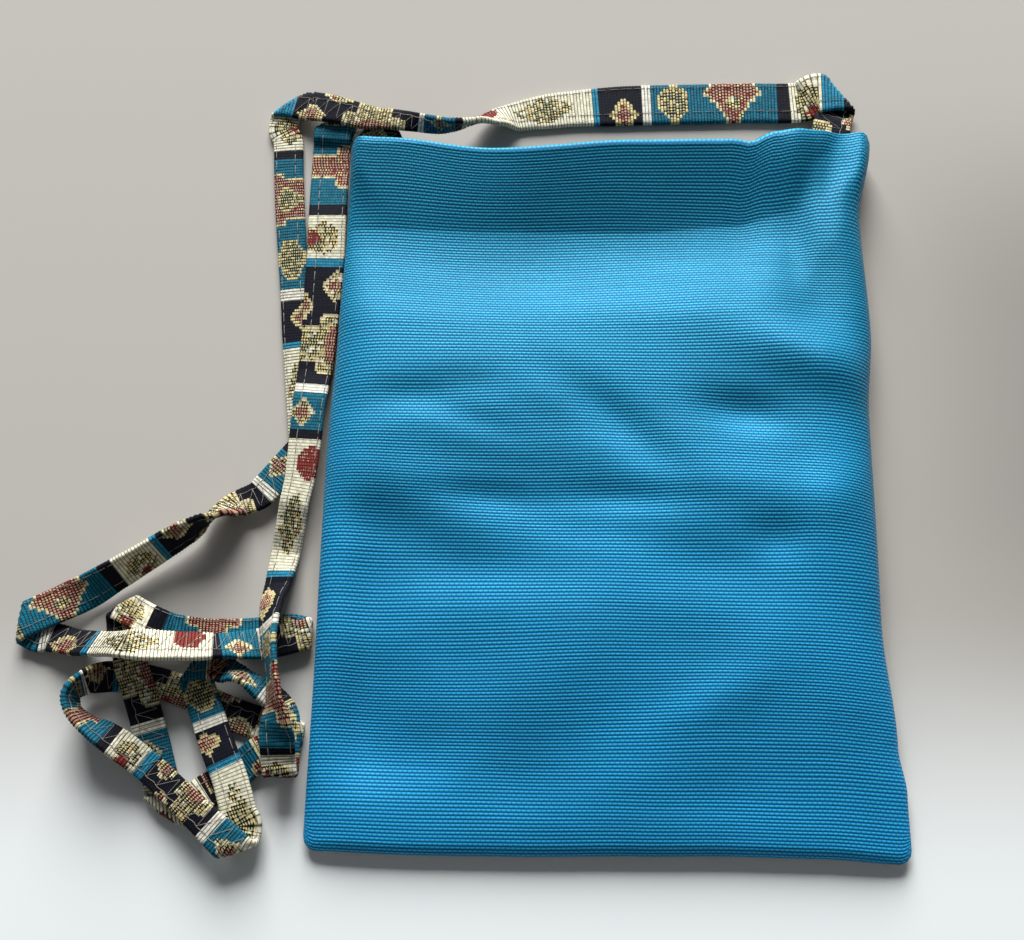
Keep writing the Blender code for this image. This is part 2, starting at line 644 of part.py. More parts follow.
def plan_strap():
    """Folds and strands of the whole strap, in metres."""
    millimetre = 0.001
    routes = []
    for strand in STRANDS:
        routes.append([(*(value * millimetre for value in point[:3]), *point[3:]) for point in strand[0]])
    folds = []
    strands = []
    for index, (points, (_, turn, radius)) in enumerate(zip(routes, STRANDS)):
        start = None
        if folds:
            fold = folds[-1]
            start = fold.after
            points = [(*(fold.end + fold.after * fold.window), 0.0), *points]
        if index + 1 < len(routes):
            last = Vector(points[-1][:3])
            before = flat_direction(Vector(points[-2][:3]), last)
            after = flat_direction(last, Vector(routes[index + 1][0][:3]))
            fold = Fold(last, before, after, turn, radius * millimetre)
            folds.append(fold)
            points = [*points[:-1], (*(last - before * fold.window), *points[-1][3:])]
            strands.append(Strand(points, start, before))
        else:
            strands.append(Strand(points, start, None))
    return strands, folds


def strap_section():
    """Half of the strap's section: places across the width, with the share of the half thickness there."""
    half = STRAP_WIDTH / 2
    left = [(-half, 0.0), (-half + STRAP_EDGE, 1.0), (-half / 3, 1.0)]
    return left + [(-side, share) for side, share in reversed(left)]


def section_ring(place_at):
    """A closed ring of points round the strap, from a function that places any point of its middle."""
    half = STRAP_THICKNESS / 2
    upper = []
    lower = []
    for side, share in strap_section():
        place, normal = place_at(side)
        upper.append(place + normal * (half * share))
        if share:
            lower.append(place - normal * (half * share))
    return upper + lower[::-1]


def strand_ring(station, hand):
    place, direction, roll = station
    left = Vector((0, 0, 1)).cross(direction).normalized()
    normal = direction.cross(left)
    across = left * math.cos(roll) + normal * math.sin(roll)
    up = normal * math.cos(roll) - left * math.sin(roll)
    return section_ring(lambda side: (place + across * (side * hand), up * hand))


def fold_rings(fold, hand):
    rings = []
    span = fold.wrap + 2 * fold.window
    steps = max(6, round(span / FOLD_STEP))
    for step in range(1, steps):
        past = -fold.window + span * step / steps

        def place_at(side, past=past):
            place, normal = fold.spot(past, side * hand)
            return place, normal * hand

        rings.append(section_ring(place_at))
    return rings


def build_strap(finish):
    """One flat band from the right corner to the left one, folded, twisted and lying beside the bag."""
    strands, folds = plan_strap()
    hand = -1
    rings = []
    for index, strand in enumerate(strands):
        rings += [strand_ring(station, hand) for station in strand.samples(RUN_STEP, TWIST_STEP)]
        if math.cos(strand.roll[-1]) < 0:
            hand = -hand
        if index < len(folds):
            rings += fold_rings(folds[index], hand)
            hand = -hand
    bm = bmesh.new()
    made = [[bm.verts.new(spot) for spot in ring] for ring in rings]
    count = len(made[0])
    for first, second in zip(made, made[1:]):
        for index in range(count):
            following = (index + 1) % count
            bm.faces.new((first[index], first[following], second[following], second[index]))
    bm.faces.new(made[0])
    bm.faces.new(made[-1][::-1])
    return add_object("shoulder_strap", bm, finish, 50)


def main():
    clear_scene()
    build_panels(material("ribbed_cloth", BLUE_CLOTH, 0.6), material("kilim_cloth", KILIM_CLOTH, 0.75))
    build_tapes(material("zip_tape", TAPE_BLACK, 0.8))
    build_coil_rows(material("zip_coil", COIL_BLACK, 0.4))
    metal = material("nickel", NICKEL, 0.3, 1.0)
    build_stops(metal)
    build_slider(metal)
    build_pull(metal)
    build_strap(material("strap_cloth", STRAP_CLOTH, 0.75))


main()
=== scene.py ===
"""Looks of a small zip shoulder bag: a ribbed blue back, a kilim front, a coil zip and a long woven strap.

Units are metres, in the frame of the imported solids: the bag lies on its front, +X runs along the zip,
+Y points from the bottom seam to the zip and +Z is up, out of the ribbed back.
"""

import math

import bmesh
import bpy
import numpy as np
from mathutils import Euler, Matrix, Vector


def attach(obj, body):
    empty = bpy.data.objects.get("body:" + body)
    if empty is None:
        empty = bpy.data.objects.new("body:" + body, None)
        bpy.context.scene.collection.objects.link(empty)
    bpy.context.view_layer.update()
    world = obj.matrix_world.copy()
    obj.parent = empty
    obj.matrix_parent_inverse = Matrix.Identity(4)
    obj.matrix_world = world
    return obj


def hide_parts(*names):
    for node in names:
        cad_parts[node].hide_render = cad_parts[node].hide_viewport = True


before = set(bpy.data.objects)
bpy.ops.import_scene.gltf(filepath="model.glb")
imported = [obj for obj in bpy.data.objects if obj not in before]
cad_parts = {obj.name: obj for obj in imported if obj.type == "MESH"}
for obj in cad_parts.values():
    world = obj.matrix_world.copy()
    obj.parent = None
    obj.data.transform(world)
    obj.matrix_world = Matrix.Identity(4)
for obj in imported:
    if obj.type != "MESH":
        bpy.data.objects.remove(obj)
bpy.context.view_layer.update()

MM = 0.001
RANDOM = np.random.default_rng(7)

# Bag outline and cloth: sizes as in the solids, with edges and outlines a little closer to the photo
BAG_WIDTH = 0.150
BAG_HEIGHT = 0.198
SEAM_HEIGHT = 0.0062
SEAM_GAP = 0.0003
BOTTOM_CORNER = 0.0035
TOP_CORNER = 0.0030
SIDE_STRIP = 0.0022
BACK_CLOTH = 0.0007
FRONT_CLOTH = 0.0008
FOLD_GAP = 0.0003
HEM_DEPTH = 0.0125
MOUTH_RISE = 0.00605
TROUGH_FROM_TOP = 0.031
MOUTH_FROM_TOP = 0.011
BACK_EDGE = 0.016
FRONT_EDGE = 0.014
MOUTH_EDGE = 0.0045
BOTTOM_EDGE = 0.0030
LEFT_LINE = ((0.0, 0.0), (0.25, 0.0006), (0.5, 0.0006), (0.7, 0.0018), (0.85, 0.0026), (1.0, 0.0025))
RIGHT_LINE = ((0.0, 0.0010), (0.08, 0.0006), (0.14, -0.0012), (0.3, -0.0040), (0.58, -0.0042), (0.7, -0.0024),
              (0.87, -0.0036), (1.0, 0.0006))
TOP_LINE = ((0.0, -0.0028), (0.06, -0.0034), (0.28, -0.0066), (0.55, -0.0041), (0.70, -0.0035),
            (0.735, -0.0034), (0.765, -0.0042), (0.81, -0.0012), (0.87, 0.0), (0.92, 0.0004), (1.0, 0.0012))
BOTTOM_LINE = ((0.0, 0.0019), (0.2, 0.0013), (0.35, 0.0014), (0.55, 0.0020), (0.7, 0.0024), (0.85, 0.0022),
               (1.0, 0.0012))

# Slack of the blue cloth under its hem, seen in the photo: the trough's place below the top and its level
TROUGH_PLACE = ((0.0, 0.030), (0.55, 0.030), (0.73, 0.028), (0.84, 0.0245), (0.9, 0.008), (0.95, 0.0),
                (1.0, -0.008))
TROUGH_LEVEL = ((0.0, 0.003), (0.5, 0.0016), (0.73, 0.0016), (0.86, 0.005), (0.95, 0.0016), (1.0, 0.0024))
HEM_LEVEL = ((0.0, 0.0080), (0.2, 0.0084), (0.4, 0.0096), (0.72, 0.0096), (0.85, 0.0090), (1.0, 0.0080))
HEM_SLUMP = 0.0006
HEM_FALL = 0.024
HEM_ROUND = 0.004
BELLY_LEVEL = 0.0086
BELLY_CLIMB = 0.0302

# The empty bag thins towards its bottom seam: the height over that seam where this starts, the run in which
# it would end, the seam's height there, and what is then left of each panel's fullness
THIN_FROM = 0.0856
THIN_RUN = 0.115
SEAM_LOW = 0.0011
BACK_LEFT = 0.12
FRONT_LEFT = 0.13

# How far the bottom edge reaches past the solid's, and the height over which the hollows fade in from it
BOTTOM_SLACK = 0.0022
DENT_FADE = 0.022

# Puff of the hem's fold and wander of the ribs
HEM_PUFF = 0.0021
RIB_WANDER = 0.0008

# Ribs of the blue cloth and stitches of the kilim cloth
RIB_PITCH = 0.0009
RIB_RELIEF = 0.00013
DOT_PITCH = 0.00125
STITCH = 0.0011
STITCH_RELIEF = 0.00012
BACK_COLUMNS = 70
FRONT_COLUMNS = 134
WEAVE_SHIFT = 200.0

# Zip, as in the solids
ZIP_Y = 0.0885
TAPE_THICKNESS = 0.0005
ZIP_GAP = 0.0003
TOOTH_PITCH = 0.0015
TEETH_HEIGHT = 0.0015

# Strap, as in the solids, and its weave
STRAP_WIDTH = 0.0109
STRAP_THICKNESS = 0.0015
FOLD_MARGIN = 0.0010
STRAP_RIB = 0.00090
STRAP_CELLS = 12
STRAND_STEP = 0.0006
STRAP_WEAR = 0.00003
STITCH_ENDS = (0.003, 0.006)
CHAIN_SWAY = 0.00022
FOLD_STEP = 0.0002
STRAP_RELIEF = 0.00016

# Share of its width that the curled strap shows, by rib along it, and how high its middle then stands
STRAP_SHOWN = ((0, 1.0), (30, 1.0), (38, 1.2), (100, 1.2), (122, 1.05), (142, 0.8), (155, 0.55), (169, 0.5),
               (180, 0.6), (192, 0.75), (205, 0.85), (222, 0.8), (250, 0.78), (300, 0.72), (336, 0.85),
               (361, 0.75), (374, 1.0), (386, 0.9), (411, 0.88), (436, 0.88), (448, 0.75), (470, 0.75),
               (482, 1.0), (494, 1.0), (505, 0.8), (528, 0.75), (560, 0.7), (589, 0.78), (613, 0.8),
               (654, 0.82), (716, 0.78), (751, 0.72), (768, 0.75), (786, 0.8), (803, 0.7), (820, 0.72),
               (838, 0.85), (866, 0.82), (894, 0.8), (914, 0.7), (932, 0.66), (946, 0.8), (973, 1.0),
               (1000, 0.75), (1027, 0.73), (1054, 0.82), (1082, 0.9), (1108, 1.0), (1193, 1.0))
STRAP_ARCH = 0.0009
THREAD = 0.000095
STRAP_ROUND = 0.00055
STRAP_STITCH = 0.0037
STITCH_ROWS = (-0.0043, 0.0026)

# Zip coil, slider and stops
TEETH_BASE = ZIP_Y + TAPE_THICKNESS + ZIP_GAP
COIL_WIRE = 0.00024
COIL_MIDDLE = TEETH_BASE + TEETH_HEIGHT / 2
COIL_HALF = TEETH_HEIGHT / 2 - COIL_WIRE
COIL_INNER = -0.00025
COIL_OUTER = 0.0021 - COIL_WIRE
COIL_FLATTEN = 0.00012
SEWING_REACH = (0.00080, 0.00135)
SEWING_THREAD = 0.00007
SEWING_LIFT = 0.00002
SEWING_DIP = 0.00022
CLOSED_X = 0.053
OPEN_X = -0.052
SLIDER_LENGTH = 0.010
WEDGE_FROM_CENTRE = 0.0027

# Stage, with painted light on the floor near the bag, painted shade further off, a painted shadow on the
# right, the places between which these change, and light
FLOOR_Z = -0.0002
FLOOR_REACH = 3.0
FLOOR_NEAR_PAINTED_LIGHT = (0.84, 0.89, 0.91, 1.0)
FLOOR_FAR_PAINTED_SHADE = (0.475, 0.457, 0.430, 1.0)
FLOOR_RIGHT_PAINTED_SHADOW = (0.325, 0.315, 0.295, 1.0)
NEAR_TO_FAR_Y = (-0.115, -0.030)
PAINTED_SHADOW_X = (0.05, 0.13)
PAINTED_SHADOW_LOW_Y = (-0.075, 0.0)
PAINTED_SHADOW_HIGH_Y = (0.05, 0.13)
KEY_PLACE = (-0.20, 2.55, 1.35)
KEY_SIZE = 1.8
KEY_POWER = 190.0
FILL_PLACE = (-0.5, -0.6, 0.9)
FILL_SIZE = 1.2
FILL_POWER = 0.3
WORLD_STRENGTH = 0.11

# Camera, found from the photo's view of the bag; its turn is in degrees
SENSOR = 36.0
LENS = 50.27
CAMERA_PLACE = (-0.0160, -0.1158, 0.3691)
CAMERA_TURN = (17.655, 1.009, 1.102)

# The strap's route from the right corner to the left one, in millimetres. Each strand ends at a fold, where
# the strap turns over upwards (+1) or downwards (-1) round the given radius. A point is x, y and z, then its
# roll about the strap's length in degrees.
STRANDS = (
    (((64.9, 91.3, 2.95), (65, 97, 2.95), (65.2, 101.5, 2.95), (65.7, 105, 2.8), (66.4, 108.2, 2.67),
      (68.7, 115.2, 1.52)), +1, 0.95),
    (((57.4, 115.3, 0.98), (41.4, 115, 0.98), (28.2, 114.6, 0.98), (4.8, 113.7, 0.98),
      (-12.8, 112.2, 0.98), (-25.5, 109.8, 0.99), (-32.5, 107.2, 4.11, 35), (-38, 104.8, 6.62, 65),
      (-43.4, 103.4, 7.08, 90), (-48.8, 103.6, 6.66, 118), (-53.9, 104.6, 6.26, 150),
      (-59.5, 105.6, 5.82, 180), (-68, 106.9, 4.76, 180), (-78.3, 109.4, 5.15, 180),
      (-85.5, 111.3, 3.86, 180), (-91, 112.6, 2.88, 180)), -1, 0.95),
    (((-92.2, 101.6, 0.98), (-91.3, 91.7, 0.98), (-90.2, 80, 0.98), (-88.6, 66, 0.98), (-87, 52, 0.98),
      (-85.8, 40, 0.98), (-84.4, 30, 0.98), (-81.3, 10, 0.99)), +1, 0.95),
    (((-97.6, -9.6, 2.01, 12), (-100.7, -12.3, 4.56, 40), (-103.4, -14.5, 6.72, 70),
      (-106.6, -16.7, 7.12, 94), (-110.2, -19, 6.82, 108), (-114.8, -21.9, 6.45, 116),
      (-120.7, -25.8, 5.96, 120), (-128.2, -30.4, 5.13, 130), (-135.7, -34.6, 3.39, 152),
      (-142, -37.8, 3.44, 176), (-151.4, -42.4, 3.51, 180)), -1, 0.95),
    (((-144.6, -46.4, 1.83, -10), (-138, -48, 3.19, -26), (-130.5, -49.2, 7.9, -32),
      (-121, -49.9, 12.8, -34), (-108, -49.8, 10.18, -42), (-99.5, -49.4, 8.46, -40),
      (-93.5, -48.6, 5.9, -26), (-88, -47.6, 3.53, -8), (-83.6, -46.6, 2.9), (-77.6, -44.9, 2.89)), -1, 0.95),
    (((-83.6, -43.4, 0.98), (-92.6, -44.4, 0.98), (-102.6, -44.6, 1), (-111, -44.4, 4.56),
      (-117.2, -42.7, 7.28), (-124.6, -38.9, 4.4)), -1, 1.28),
    (((-123.4, -46.6, 2.63), (-121.4, -53.6, 7.14), (-119.2, -60.4, 4.65), (-117.2, -67, 2.24),
      (-115, -74, 0.98), (-112.6, -81.5, 0.98), (-111.4, -88.8, 0.98)), +1, 1.08),
    (((-101.4, -86.2, 2.15), (-97, -83.2, 1.64), (-91.5, -78.9, 1.5), (-87.2, -75.6, 3.12),
      (-84, -74, 3.04), (-78.4, -72.7, 2.9)), -1, 0.95),
    (((-85, -68.7, 0.98), (-91.5, -66.9, 0.98), (-98.8, -64.2, 0.98), (-106.9, -60.6, 0.98),
      (-114.5, -58, 0.98), (-120, -56.9, 0.98), (-124.5, -56.6, 0.98), (-128.4, -56.9, 3.26, -16),
      (-132.2, -58.4, 5.79, -58), (-135.4, -61.5, 7.56, -78), (-135, -65.4, 7.45, -78),
      (-131.4, -69, 7.3, -66), (-126.2, -72, 7.13, -42), (-120.6, -75.6, 5.83, -18),
      (-115, -79.6, 4.48, -4), (-108.6, -84.8, 5.11), (-101.8, -90.7, 5.8), (-92.2, -98.8, 5.8)), -1, 1.15),
    (((-91, -91.2, 3.76), (-92.6, -86.5, 3.94), (-94.4, -81.5, 4.02), (-96.8, -76.5, 4.11),
      (-99.3, -71, 3.5), (-101.8, -65, 2.84), (-103.8, -60.4, 2.84), (-105.6, -55, 2.89)), +1, 0.95),
    (((-97.4, -54.9, 5.56, -24), (-94.8, -55.6, 5.82, -48), (-91.9, -56.9, 6.12, -62),
      (-87.8, -59.6, 4.8, -46), (-84.2, -62.2, 3.61, -28), (-81.2, -65.9, 5.05, -16),
      (-80.4, -70.4, 6.1, -6), (-80.4, -74.8, 6.04), (-80.8, -80.2, 5.98)), +1, 0.95),
    (((-81.7, -73.5, 10.38, -8), (-82.2, -68.5, 12.24, -40), (-82.9, -63, 12.37, -65),
      (-83.9, -56.5, 12, -71), (-85, -50.5, 11.65, -66), (-85.8, -44.5, 9.71, -56),
      (-86, -38.5, 7.43, -40), (-85.4, -31.5, 3.2, -26), (-84.2, -22.5, 1.66, -8), (-83.2, -15.5, 3.46),
      (-82.3, -9.5, 5.01), (-81.2, -2, 4.79), (-80.6, 9, 4.79), (-80.1, 19.5, 4.74), (-79.5, 28.5, 2.84),
      (-79.1, 36.5, 2.84), (-78.8, 50, 2.84), (-78.6, 63, 2.84), (-78.8, 74, 2.84), (-79, 84, 1.97),
      (-79.1, 93, 0.98), (-79.1, 99, 1.01), (-78.6, 106.8, 2.9)), -1, 0.95),
    (((-65.6, 102.8, 3.15), (-63.3, 98.8, 3.15), (-62.9, 95, 2.95), (-62.9, 91.3, 2.95)), 0, 0),
)


def smooth(value):
    value = np.clip(value, 0.0, 1.0)
    return value * value * (3.0 - 2.0 * value)


def along(line, share):
    """The value of a (share, value) line at a share of its length, eased between its points."""
    shares = np.array([point[0] for point in line])
    values = np.array([point[1] for point in line])
    index = np.clip(np.searchsorted(shares, share, "right") - 1, 0, len(line) - 2)
    step = smooth((share - shares[index]) / (shares[index + 1] - shares[index]))
    return values[index] + (values[index + 1] - values[index]) * step


def unit(vectors):
    return vectors / np.maximum(np.linalg.norm(vectors, axis=-1, keepdims=True), 1e-12)


def mesh_object(name, points, faces, finish):
    """An object from points and faces, which may mix triangles and quads."""
    mesh = bpy.data.meshes.new(name)
    mesh.from_pydata(np.asarray(points).tolist(), [], [tuple(map(int, face)) for face in faces])
    mesh.validate()
    mesh.shade_smooth()
    mesh.materials.append(finish)
    obj = bpy.data.objects.new(name, mesh)
    bpy.context.collection.objects.link(obj)
    return obj


def grid_faces(rows, columns, close_rows=False, close_columns=False):
    """Quads of a grid of points stored row by row."""
    row_count = rows if close_rows else rows - 1
    column_count = columns if close_columns else columns - 1
    row, column = np.meshgrid(np.arange(row_count), np.arange(column_count), indexing="ij")
    next_row, next_column = (row + 1) % rows, (column + 1) % columns
    corners = (row * columns + column, row * columns + next_column,
               next_row * columns + next_column, next_row * columns + column)
    return np.stack([corner.ravel() for corner in corners], axis=1)


def add_colours(obj, name, colours):
    """A colour for each face, stored on the face's corners."""
    layer = obj.data.color_attributes.new(name, "FLOAT_COLOR", "CORNER")
    sizes = np.empty(len(obj.data.polygons), np.int32)
    obj.data.polygons.foreach_get("loop_total", sizes)
    layer.data.foreach_set("color", np.repeat(np.asarray(colours, np.float32), sizes, axis=0).ravel())


def add_vectors(obj, name, vectors):
    """A vector for each point, such as its place in the weave."""
    layer = obj.data.attributes.new(name, "FLOAT_VECTOR", "POINT")
    layer.data.foreach_set("vector", np.asarray(vectors, np.float32).ravel())


# Materials


class Nodes:
    """A small helper that adds and links shader nodes of one material."""

    def __init__(self, name, roughness, metallic=0.0, settings=()):
        self.material = bpy.data.materials.new(name)
        self.material.use_nodes = True
        self.tree = self.material.node_tree
        self.shader = self.tree.nodes["Principled BSDF"]
        for socket, value in {"Roughness": roughness, "Metallic": metallic, **dict(settings)}.items():
            self.shader.inputs[socket].default_value = value

    def add(self, kind, **settings):
        node = self.tree.nodes.new(kind)
        for key, value in settings.items():
            setattr(node, key, value)
        return node

    def link(self, source, target):
        self.tree.links.new(source, target)

    def set_input(self, socket, value):
        if isinstance(value, bpy.types.NodeSocket):
            self.link(value, socket)
        else:
            socket.default_value = value

    def maths(self, operation, first, second=0.0, third=0.0):
        node = self.add("ShaderNodeMath", operation=operation)
        for socket, value in zip(node.inputs, (first, second, third)):
            self.set_input(socket, value)
        return node.outputs[0]

    def times(self, first, second):
        return self.maths("MULTIPLY", first, second)

    def ramp(self, value, low, high, to_low=0.0, to_high=1.0):
        node = self.add("ShaderNodeMapRange", interpolation_type="SMOOTHSTEP")
        for socket, given in zip(node.inputs, (value, low, high, to_low, to_high)):
            self.set_input(socket, given)
        return node.outputs[0]

    def mix(self, share, first, second, blend="MIX"):
        node = self.add("ShaderNodeMix", data_type="RGBA", blend_type=blend)
        self.set_input(node.inputs[0], share)
        self.set_input(node.inputs[6], first)
        self.set_input(node.inputs[7], second)
        return node.outputs[2]

    def tinted(self, colour, shade):
        """A colour times a grey shade."""
        return self.mix(1.0, colour, self.grey(shade), "MULTIPLY")

    def attribute(self, name):
        return self.add("ShaderNodeAttribute", attribute_name=name).outputs

    def split(self, vector):
        node = self.add("ShaderNodeSeparateXYZ")
        self.link(vector, node.inputs[0])
        return tuple(node.outputs)

    def here(self):
        return self.add("ShaderNodeTexCoord").outputs["Object"]

    def place(self, scale=(1.0, 1.0, 1.0), source=None):
        """Object coordinates, or another vector, times a scale."""
        if source is None:
            source = self.here()
        node = self.add("ShaderNodeVectorMath", operation="MULTIPLY")
        self.link(source, node.inputs[0])
        node.inputs[1].default_value = scale
        return node.outputs[0]

    def noise(self, vector, scale, detail=2.0, roughness=0.5):
        node = self.add("ShaderNodeTexNoise")
        self.link(vector, node.inputs["Vector"])
        node.inputs["Scale"].default_value = scale
        node.inputs["Detail"].default_value = detail
        node.inputs["Roughness"].default_value = roughness
        return node.outputs["Fac"]

    def spot(self, centre, radius):
        """1 at a point of the object and 0 from the radius on, in metres."""
        near = self.add("ShaderNodeVectorMath", operation="DISTANCE")
        self.link(self.here(), near.inputs[0])
        near.inputs[1].default_value = centre
        return self.ramp(near.outputs["Value"], 0.0, radius, 1.0, 0.0)

    def grey(self, value):
        node = self.add("ShaderNodeCombineColor")
        for socket in node.inputs:
            self.link(value, socket)
        return node.outputs[0]

    def bump(self, height, distance, strength):
        node = self.add("ShaderNodeBump")
        node.inputs["Distance"].default_value = distance
        node.inputs["Strength"].default_value = strength
        self.link(height, node.inputs["Height"])
        return node.outputs["Normal"]

    def finish(self, colour=None, roughness=None, normal=None):
        for name, value in (("Base Color", colour), ("Roughness", roughness), ("Normal", normal)):
            if value is not None:
                self.set_input(self.shader.inputs[name], value)
        return self.material


def wave(nodes, value, sharpness):
    """A row of humps, one for each whole number, from a coordinate counted in humps."""
    turned = nodes.times(value, math.pi)
    hump = nodes.maths("ABSOLUTE", nodes.maths("SINE", turned))
    return nodes.maths("POWER", hump, sharpness)


# Blue cloth: its colour in the grooves with painted shade and on the crests with a painted highlight, painted
# shade at the hem, painted light at the bottom, and where these are reached
BLUE_GROOVE_PAINTED_SHADE = (0.0004, 0.098, 0.290, 1.0)
BLUE_CREST_PAINTED_HIGHLIGHT = (0.030, 0.400, 0.590, 1.0)
HEM_PAINTED_SHADE = (0.80, 0.86, 0.84, 1.0)
BOTTOM_PAINTED_LIGHT = (1.08, 1.15, 1.28, 1.0)
PAINTED_SHADE_TO_LIGHT_Y = (0.085, -0.095)

# Handling marks on it: middle, radius, colour and strength
SMUDGES = (
    ((-0.0715, -0.0930, 0.0100), 0.0050, (0.12, 0.14, 0.13, 1.0), 0.75),
    ((0.0700, -0.0890, 0.0100), 0.0060, (0.16, 0.20, 0.18, 1.0), 0.35),
    ((0.0690, 0.0170, 0.0100), 0.0060, (0.04, 0.24, 0.22, 1.0), 0.45),
    ((0.0180, -0.0150, 0.0130), 0.0040, (0.03, 0.30, 0.42, 1.0), 0.40),
)


def ribbed_cloth():
    """Bright blue cloth: thick ribs across the bag, each bound by short floats set like bricks.

    Its colour is a little deeper at the hem than at the bottom: painted shade at the hem and painted light
    towards the bottom. The grooves carry painted shade and the crests a painted highlight.
    """
    nodes = Nodes("ribbed_cloth", 0.50, 0.10, {"Sheen Weight": 0.05, "Sheen Roughness": 0.4,
                                               "Specular IOR Level": 0.3,
                                               "Specular Tint": (0.35, 0.80, 1.0, 1.0)})
    across, rib, _ = nodes.split(nodes.attribute("weave")["Vector"])
    odd = nodes.maths("MODULO", nodes.maths("FLOOR", rib), 2.0)
    float_hump = wave(nodes, nodes.maths("MULTIPLY_ADD", odd, 0.5, across), 0.6)
    crest = wave(nodes, rib, 1.2)
    place = nodes.here()
    fibre = nodes.noise(nodes.place((1.0, 5.0, 5.0), place), 900.0, 3.0, 0.6)
    patch = nodes.noise(place, 28.0, 3.0, 0.55)
    thread = nodes.noise(nodes.place((1.0, 40.0, 1.0), place), 60.0, 2.0)

    # painted highlight on the crests and floats and painted shade in the grooves, set by the rib's shape
    lit = nodes.times(crest, nodes.maths("MULTIPLY_ADD", float_hump, 0.65, 0.35))
    colour = nodes.mix(nodes.ramp(lit, 0.20, 0.90), BLUE_GROOVE_PAINTED_SHADE, BLUE_CREST_PAINTED_HIGHLIGHT)
    uneven = nodes.maths("MULTIPLY_ADD", thread, 0.5, nodes.times(patch, 0.5))
    colour = nodes.tinted(colour, nodes.ramp(uneven, 0.3, 0.7, 0.86, 1.12))
    # painted shade at the hem and painted light towards the bottom, which is also bluer
    down = nodes.ramp(nodes.split(place)[1], *PAINTED_SHADE_TO_LIGHT_Y)
    colour = nodes.mix(1.0, colour, nodes.mix(down, HEM_PAINTED_SHADE, BOTTOM_PAINTED_LIGHT), "MULTIPLY")
    colour = dirt(nodes, colour)
    height = nodes.maths("MULTIPLY_ADD", float_hump, 0.6, nodes.times(fibre, 0.4))
    normal = nodes.bump(height, 0.00012, 0.7)
    return nodes.finish(colour, nodes.ramp(fibre, 0.2, 0.8, 0.42, 0.58), normal)


def dirt(nodes, colour):
    """Handling marks where the photo shows them: a grey smudge low on the left, fainter ones elsewhere."""
    grain = nodes.noise(nodes.here(), 420.0, 4.0, 0.7)
    for centre, radius, tone, weight in SMUDGES:
        patch = nodes.times(nodes.spot(centre, radius), nodes.ramp(grain, 0.35, 0.65))
        colour = nodes.mix(nodes.times(patch, weight), colour, tone)
    return colour


def kilim_yarn(name):
    """Woven yarns: each stitch takes its ground colour, with a small dot of a second yarn on it and painted
    shade in the grooves between ribs.
    """
    nodes = Nodes(name, 0.82, 0.0, {"Sheen Weight": 0.02, "Specular IOR Level": 0.15})
    vector = nodes.attribute("weave")["Vector"]
    across, rib, _ = nodes.split(vector)
    ground = nodes.attribute("ground")
    dot = nodes.attribute("dot")
    crest = wave(nodes, rib, 0.7)
    row = nodes.add("ShaderNodeTexWhiteNoise", noise_dimensions="1D")
    nodes.link(nodes.maths("FLOOR", rib), row.inputs["W"])
    shifted = nodes.maths("MULTIPLY_ADD", row.outputs["Value"], 0.7, across)
    loose = nodes.noise(vector, 1.7, 2.0, 0.6)
    dot_shape = nodes.times(wave(nodes, shifted, 0.8), crest)
    dot_mask = nodes.ramp(nodes.maths("MULTIPLY_ADD", loose, 0.55, dot_shape), 0.78, 0.98)
    shown = nodes.times(dot_mask, dot["Alpha"])
    cell = nodes.add("ShaderNodeVectorMath", operation="FLOOR")
    nodes.link(vector, cell.inputs[0])
    random = nodes.add("ShaderNodeTexWhiteNoise", noise_dimensions="3D")
    nodes.link(cell.outputs[0], random.inputs["Vector"])
    fibre = nodes.noise(nodes.place((1.0, 4.0, 1.0), vector), 3.2, 4.0, 0.65)
    # painted shade: the colour is darkened in the grooves between the ribs
    groove = nodes.ramp(crest, 0.15, 0.78, 0.10, 1.0)
    vary = nodes.times(groove, nodes.ramp(random.outputs["Value"], 0.0, 1.0, 0.82, 1.12))
    vary = nodes.times(vary, nodes.ramp(fibre, 0.25, 0.75, 0.86, 1.10))
    colour = nodes.tinted(nodes.mix(shown, ground["Color"], dot["Color"]), vary)
    normal = nodes.bump(nodes.maths("MULTIPLY_ADD", shown, 0.5, nodes.times(fibre, 0.6)), 0.00014, 0.8)
    nodes.set_input(nodes.shader.inputs["Metallic"], nodes.times(dot_mask, ground["Alpha"]))
    return nodes.finish(colour, nodes.ramp(fibre, 0.2, 0.8, 0.62, 0.85), normal)


# Strap: the same route as the solid's, sampled finely enough to hold each rib


def hermite(start, end, start_slope, end_slope, share):
    square = share * share
    cube = square * share
    return (
        start * (2 * cube - 3 * square + 1)
        + start_slope * (cube - 2 * square + share)
        + end * (3 * square - 2 * cube)
        + end_slope * (cube - square)
    )


def eased(share):
    return 0.5 * share + 0.5 * share * share * (3.0 - 2.0 * share)


